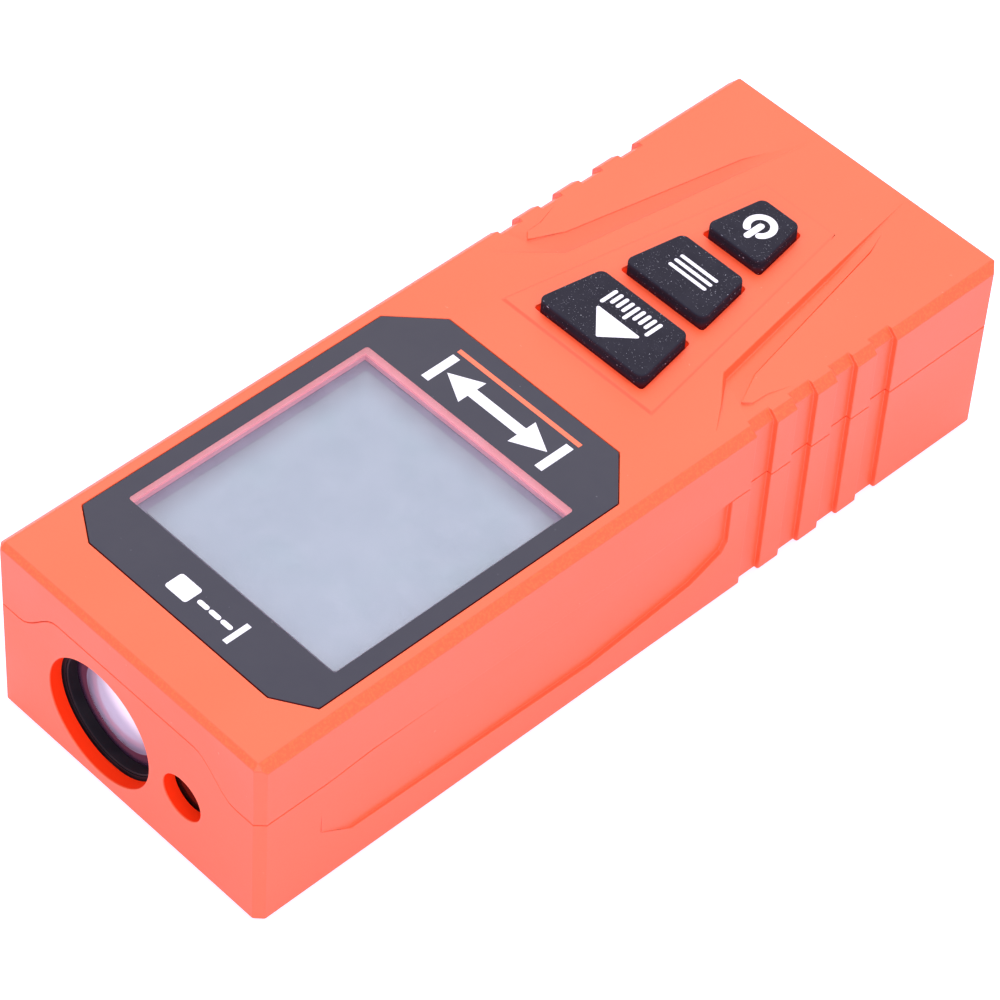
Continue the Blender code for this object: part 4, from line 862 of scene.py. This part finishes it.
def build_window():
    """Clear pane with a dark red edge, below a print that leaves the clear area open.
    The dark red edge is painted shade of the gap around the plate, with a painted orange reflection.
    """
    low, high = box_mm("display_window")
    outline = rounded(window_outline(), PLATE_CORNER, 4)
    opening = rounded(rectangle(*clear_area()), CLEAR_CORNER)
    inside = rounded(offset_outline(window_outline(), -WINDOW_EDGE), PLATE_CORNER, 4)
    ink_foot = high.z - WINDOW_INK
    for name, outlines, span, material, slot in (
            ("window_border", [outline, opening], (ink_foot, high.z), MATERIALS["window_print"],
             "window_print"),
            # Painted shade: the dark red edge stands for the shaded gap around the plate and the
            # orange it reflects.
            ("window_edge", [outline, inside], (low.z, ink_foot),
             moulded("window_edge", (0.10, 0.012, 0.014), 0.35), "window_print"),
            ("window_pane", [inside], (low.z, ink_foot), clear_pane(), "glass")):
        mesh = flat_mesh(name, outlines, *span)
        shade(add_piece(name, mesh, material, "case", slot, "display_window"))


def build_lcd_film():
    """Bright film on the display glass, just inside the clear area."""
    _, top = box_mm("lcd_panel")
    gap, thickness, corner = 0.01, 0.12, 0.4
    outline = rounded(offset_outline(rectangle(*clear_area()), -LCD_BORDER), corner)
    film = flat_mesh("lcd_film", [outline], top.z + gap, top.z + gap + thickness)
    shade(add_piece("lcd_film", film, lcd_film(), "case", "lcd_grey"))


def build_window_prints():
    """Plain signs on the plate: a span arrow beside an orange line, and a beam that meets a wall."""
    left, right, near, far = -8.2, 8.9, -5.1, -0.75
    stop, gap, head_long, head_half, shaft_half = 1.0, 0.45, 3.6, 1.9, 0.62
    middle = (near + far) / 2
    tips = left + stop + gap, right - stop - gap
    necks = tips[0] + head_long, tips[1] - head_long
    arrow = [(tips[0], middle), (necks[0], middle - head_half), (necks[0], middle - shaft_half),
             (necks[1], middle - shaft_half), (necks[1], middle - head_half), (tips[1], middle),
             (necks[1], middle + head_half), (necks[1], middle + shaft_half),
             (necks[0], middle + shaft_half), (necks[0], middle + head_half)]
    span = [rectangle(left, near, left + stop, far), rectangle(right - stop, near, right, far), arrow]

    line_near, line_far, line_longer = -0.22, 0.33, 0.15
    underline = rectangle(left, line_near, right + line_longer, line_far)

    row, source_half, wall_half = -40.95, 1.15, 1.55
    dash_long, dash_wide, dash_starts = 0.95, 0.55, (-0.15, 1.5, 3.15)
    source = rounded(rectangle(-4.0, row - source_half, -1.0, row + source_half), 0.35, 4)
    dashes = [bar((start, row), (start + dash_long, row), dash_wide) for start in dash_starts]
    wall = rectangle(4.75, row - wall_half, 5.4, row + wall_half)

    _, plate = box_mm("display_window")
    for name, outlines, ink in (("span_sign", span, MATERIALS["white_ink"]),
                                ("span_underline", [underline], orange_ink()),
                                ("beam_sign", [source, *dashes, wall], MATERIALS["white_ink"])):
        mesh = flat_mesh(name, outlines, plate.z - PRINT_SUNK, plate.z + PRINT_THICK)
        add_piece(name, mesh, ink, "case", "window_print")


# ---------------------------------------------------------------- keys


def key_outline(key):
    """A key narrows towards the back; its corners are rounded. The front corners of the CAD
    key's outline are found from its widest point and its corner radius."""
    low, high = box_mm(f"{key}_key")
    front, rear = low.y + KEY_FLANGE, high.y - KEY_FLANGE
    half_front = high.x - KEY_FLANGE + KEY_CORNER * (sqrt(1 + KEY_TAPER ** 2) - 1 + KEY_TAPER)
    half_rear = half_front - KEY_TAPER * (rear - front)
    return rounded([(-half_front, front), (half_front, front),
                    (half_rear, rear), (-half_rear, rear)], CAP_CORNER)


def build_key(key):
    """Cap with a full round along its upper edge, a slight draft on its walls and a flange."""
    low, high = box_mm(f"{key}_key")
    _, cover_top = box_mm("display_window")
    outline = offset_outline(key_outline(key), KEY_WIDER)
    shoulder, ledge = cover_top.z - FLANGE_DROP, 0.001
    flange = KEY_FLANGE - KEY_WIDER - 0.1     # a little inside the CAD key's flange
    draft, steps = 0.04, 6
    levels = [(low.z, flange), (shoulder, flange), (shoulder + ledge, 0.0)]
    for k in range(steps + 1):
        angle = pi / 2 * k / steps
        levels.append((high.z - KEY_ROUND * (1 - sin(angle)),
                       -draft - KEY_ROUND * (1 - cos(angle))))
    rings = [[(x, y, z) for x, y in offset_outline(outline, growth)] for z, growth in levels]
    mesh = stacked_mesh(f"{key}_cap", rings)
    cap = add_piece(f"{key}_cap", mesh, MATERIALS["black_rubber"], body_with(f"{key}_key"),
                    "black_rubber", f"{key}_key")
    shade(cap, 50)


def add_icon(name, key, outlines):
    _, high = box_mm(f"{key}_key")
    mesh = flat_mesh(name, outlines, high.z - PRINT_SUNK, high.z + PRINT_THICK)
    add_piece(name, mesh, MATERIALS["white_ink"], body_with(f"{key}_key"), "black_rubber")


def build_icons():
    """Prints on the keys: a pointer in front of a scale, three lines, and the power sign."""
    low, _ = box_mm("measure_key")
    front = low.y + KEY_FLANGE
    tip, base, half = front + 0.5, front + 3.75, 3.2
    pointer = [(ICON_X, tip), (ICON_X + half, base), (ICON_X - half, base)]
    long_foot, short_foot, head = front + 4.5, front + 5.15, front + 6.45
    ticks, pitch, width = 9, 0.79, 0.45
    scale = []
    for i in range(ticks):
        x = ICON_X + (i - (ticks - 1) / 2) * pitch
        foot = long_foot if i in (0, ticks // 2, ticks - 1) else short_foot
        scale.append(bar((x, foot), (x, head), width))
    add_icon("measure_icon", "measure", [rounded(pointer, 0.18, 4)] + scale)

    low, high = box_mm("function_key")
    middle = (low.y + high.y) / 2 + ICON_BACK
    half, pitch, width = 2.4, 0.85, 0.42
    lines = [bar((ICON_X - half, middle + step), (ICON_X + half, middle + step), width)
             for step in (-pitch, 0.0, pitch)]
    add_icon("function_icon", "function", lines)

    low, high = box_mm("power_key")
    x, y = centre = (POWER_X, (low.y + high.y) / 2 + ICON_BACK)
    outer, inner, gap = 1.80, 1.0, 38         # radii, and half the opening in degrees
    width, radius = outer - inner, (outer + inner) / 2
    start, end = -90 + gap, 270 - gap
    first_end, last_end = [(x + radius * cos(radians(a)), y + radius * sin(radians(a)))
                           for a in (start, end)]
    ring = (arc(centre, outer, start, end, 40) + arc(last_end, width / 2, end, end + 180, 8)
            + arc(centre, inner, end, start, 40)
            + arc(first_end, width / 2, start + 180, start + 360, 8))
    stem_front, stem_rear = y - 1.92, y + 0.05
    stem = bar((x, stem_front), (x, stem_rear), width)
    add_icon("power_icon", "power", [ring, stem])


# ---------------------------------------------------------------- optics


def dome(radius, bulge, base, steps=12):
    """Points of a spherical cap towards -Y, from its rim to its centre: (radius, y)."""
    sphere = (radius * radius + bulge * bulge) / (2 * bulge)
    radii = [radius * (1 - k / steps) for k in range(steps + 1)]
    return [(r, base - bulge + sphere - sqrt(sphere ** 2 - r ** 2)) for r in radii]


def build_optics():
    """Lens domed on both sides within a flat flange, and the thin ring that holds it."""
    low, high = box_mm("receiver_lens")
    middle = (low + high) / 2
    centre = (middle.x, middle.z)
    outer, flange = high.x - middle.x, 1.65
    lens_radius, front_bulge, rear_bulge, step = outer - flange, 1.25, 1.0, 0.12
    face, rear = low.y + front_bulge, high.y - rear_bulge
    front = [(outer, face), (lens_radius + step, face), (lens_radius + step, face - step)]
    front += dome(lens_radius, front_bulge - step, face - step)
    back = [(r, 2 * rear - y) for r, y in reversed(dome(lens_radius, rear_bulge, rear))]
    mesh = turned_mesh("receiver_lens_moulding", back + [(outer, rear)] + front, centre)
    shade(add_piece("receiver_lens_moulding", mesh, lens_coating(centre, lens_radius),
                    "case", "glass", "receiver_lens"), 40)

    low, high = box_mm("lens_retainer")
    outer, wall, lip, bevel = (high.x - low.x) / 2, 0.23, 0.16, 0.06
    inner = outer - wall
    ring = [(inner, high.y), (outer, high.y), (outer, low.y), (inner + lip, low.y),
            (inner + bevel, low.y + bevel)]
    mesh = turned_mesh("lens_ring", ring, centre)
    shade(add_piece("lens_ring", mesh, MATERIALS["black_plastic"], "case", "black_plastic",
                    "lens_retainer"), 40)


# ---------------------------------------------------------------- floor, light and camera


def build_floor():
    """A large pale sheet just below the object, which glows so that shadows stay faint.
    Seen from below it vanishes, which leaves the underside of the object in view."""
    half_side, drop = 1.5, 0.02 * MM          # in metres
    bm = bmesh.new()
    bmesh.ops.create_grid(bm, x_segments=8, y_segments=8, size=half_side)
    bmesh.ops.translate(bm, vec=(0, 0, cad_box[0].z - drop), verts=bm.verts)
    floor = link_object("floor", mesh_from("floor", bm))
    look = Look("floor_sheet", (0.68, 0.60, 0.78), 0.75)
    look.patches(0.02, 2.0, 0.4, 0.7, 0.4, (0.70, 0.62, 0.80))
    look.bump(look.noise(1.5, 3.0), 0.01)
    look.set(Emission_Color=(0.95, 0.90, 1.0, 1.0), Emission_Strength=0.65)
    from_below = look.add("ShaderNodeNewGeometry").outputs["Backfacing"]
    look.mix_surfaces(from_below, look.solid, look.clear_shader())
    floor.data.materials.append(look.done())


def add_softbox(name, direction, distance, size, watts, colour):
    """Round soft light aimed at the origin; distance and size are in metres."""
    light = bpy.data.lights.new(name, "AREA")
    light.shape = "DISK"
    light.size = size
    light.energy = watts
    light.color = colour
    obj = link_object(name, light)
    direction = Vector(direction).normalized()
    obj.location = direction * distance
    obj.rotation_mode = "QUATERNION"
    obj.rotation_quaternion = direction.to_track_quat("Z", "Y")


def build_light():
    """Pale surroundings that are brighter overhead, and two soft lights."""
    world = bpy.data.worlds.new("studio")
    world.use_nodes = True
    tree = world.node_tree
    background = tree.nodes["Background"]
    background.inputs["Color"].default_value = (1.0, 0.95, 1.16, 1.0)
    heading = tree.nodes.new("ShaderNodeTexCoord")
    split = tree.nodes.new("ShaderNodeSeparateXYZ")
    rise = tree.nodes.new("ShaderNodeMapRange")
    tree.links.new(heading.outputs["Generated"], split.inputs[0])
    tree.links.new(split.outputs["Z"], rise.inputs["Value"])
    for name, value in (("From Min", 0.2), ("From Max", 0.8), ("To Min", 0.70), ("To Max", 1.25)):
        rise.inputs[name].default_value = value
    tree.links.new(rise.outputs["Result"], background.inputs["Strength"])
    bpy.context.scene.world = world
    add_softbox("top_softbox", (-0.46, 0.49, 0.74), 1.2, 1.6, 6.8, (1.0, 1.0, 0.70))
    add_softbox("camera_fill", (0.75, -0.55, 0.55), 1.1, 0.7, 3.0, (1.0, 0.97, 1.12))
    settings = bpy.context.scene.view_settings
    settings.view_transform = "Standard"
    settings.look = "None"


def build_camera():
    """Long lens looking down on the lens end from the right, slightly rolled."""
    aim = Vector((0.70, -1.95, 9.65)) * MM
    azimuth, elevation, roll = radians(43.302), radians(47.380), radians(4.089)
    distance, lens_mm = 445.3 * MM, 160.06
    back = Vector((sin(azimuth) * cos(elevation), -cos(azimuth) * cos(elevation), sin(elevation)))
    data = bpy.data.cameras.new("camera")
    data.sensor_width = 36.0
    data.lens = lens_mm
    data.clip_start = 0.01
    data.clip_end = 20.0
    camera = link_object("camera", data)
    camera.location = aim + back * distance
    camera.rotation_mode = "QUATERNION"
    look = (-back).to_track_quat("-Z", "Y")
    camera.rotation_quaternion = look @ Quaternion((0, 0, 1), roll)
    bpy.context.scene.camera = camera


# ---------------------------------------------------------------- the whole scene


dress_cad_parts()
build_case()
build_window()
build_lcd_film()
build_window_prints()
for key in ("measure", "function", "power"):
    build_key(key)
build_icons()
build_optics()
build_floor()
build_light()
build_camera()
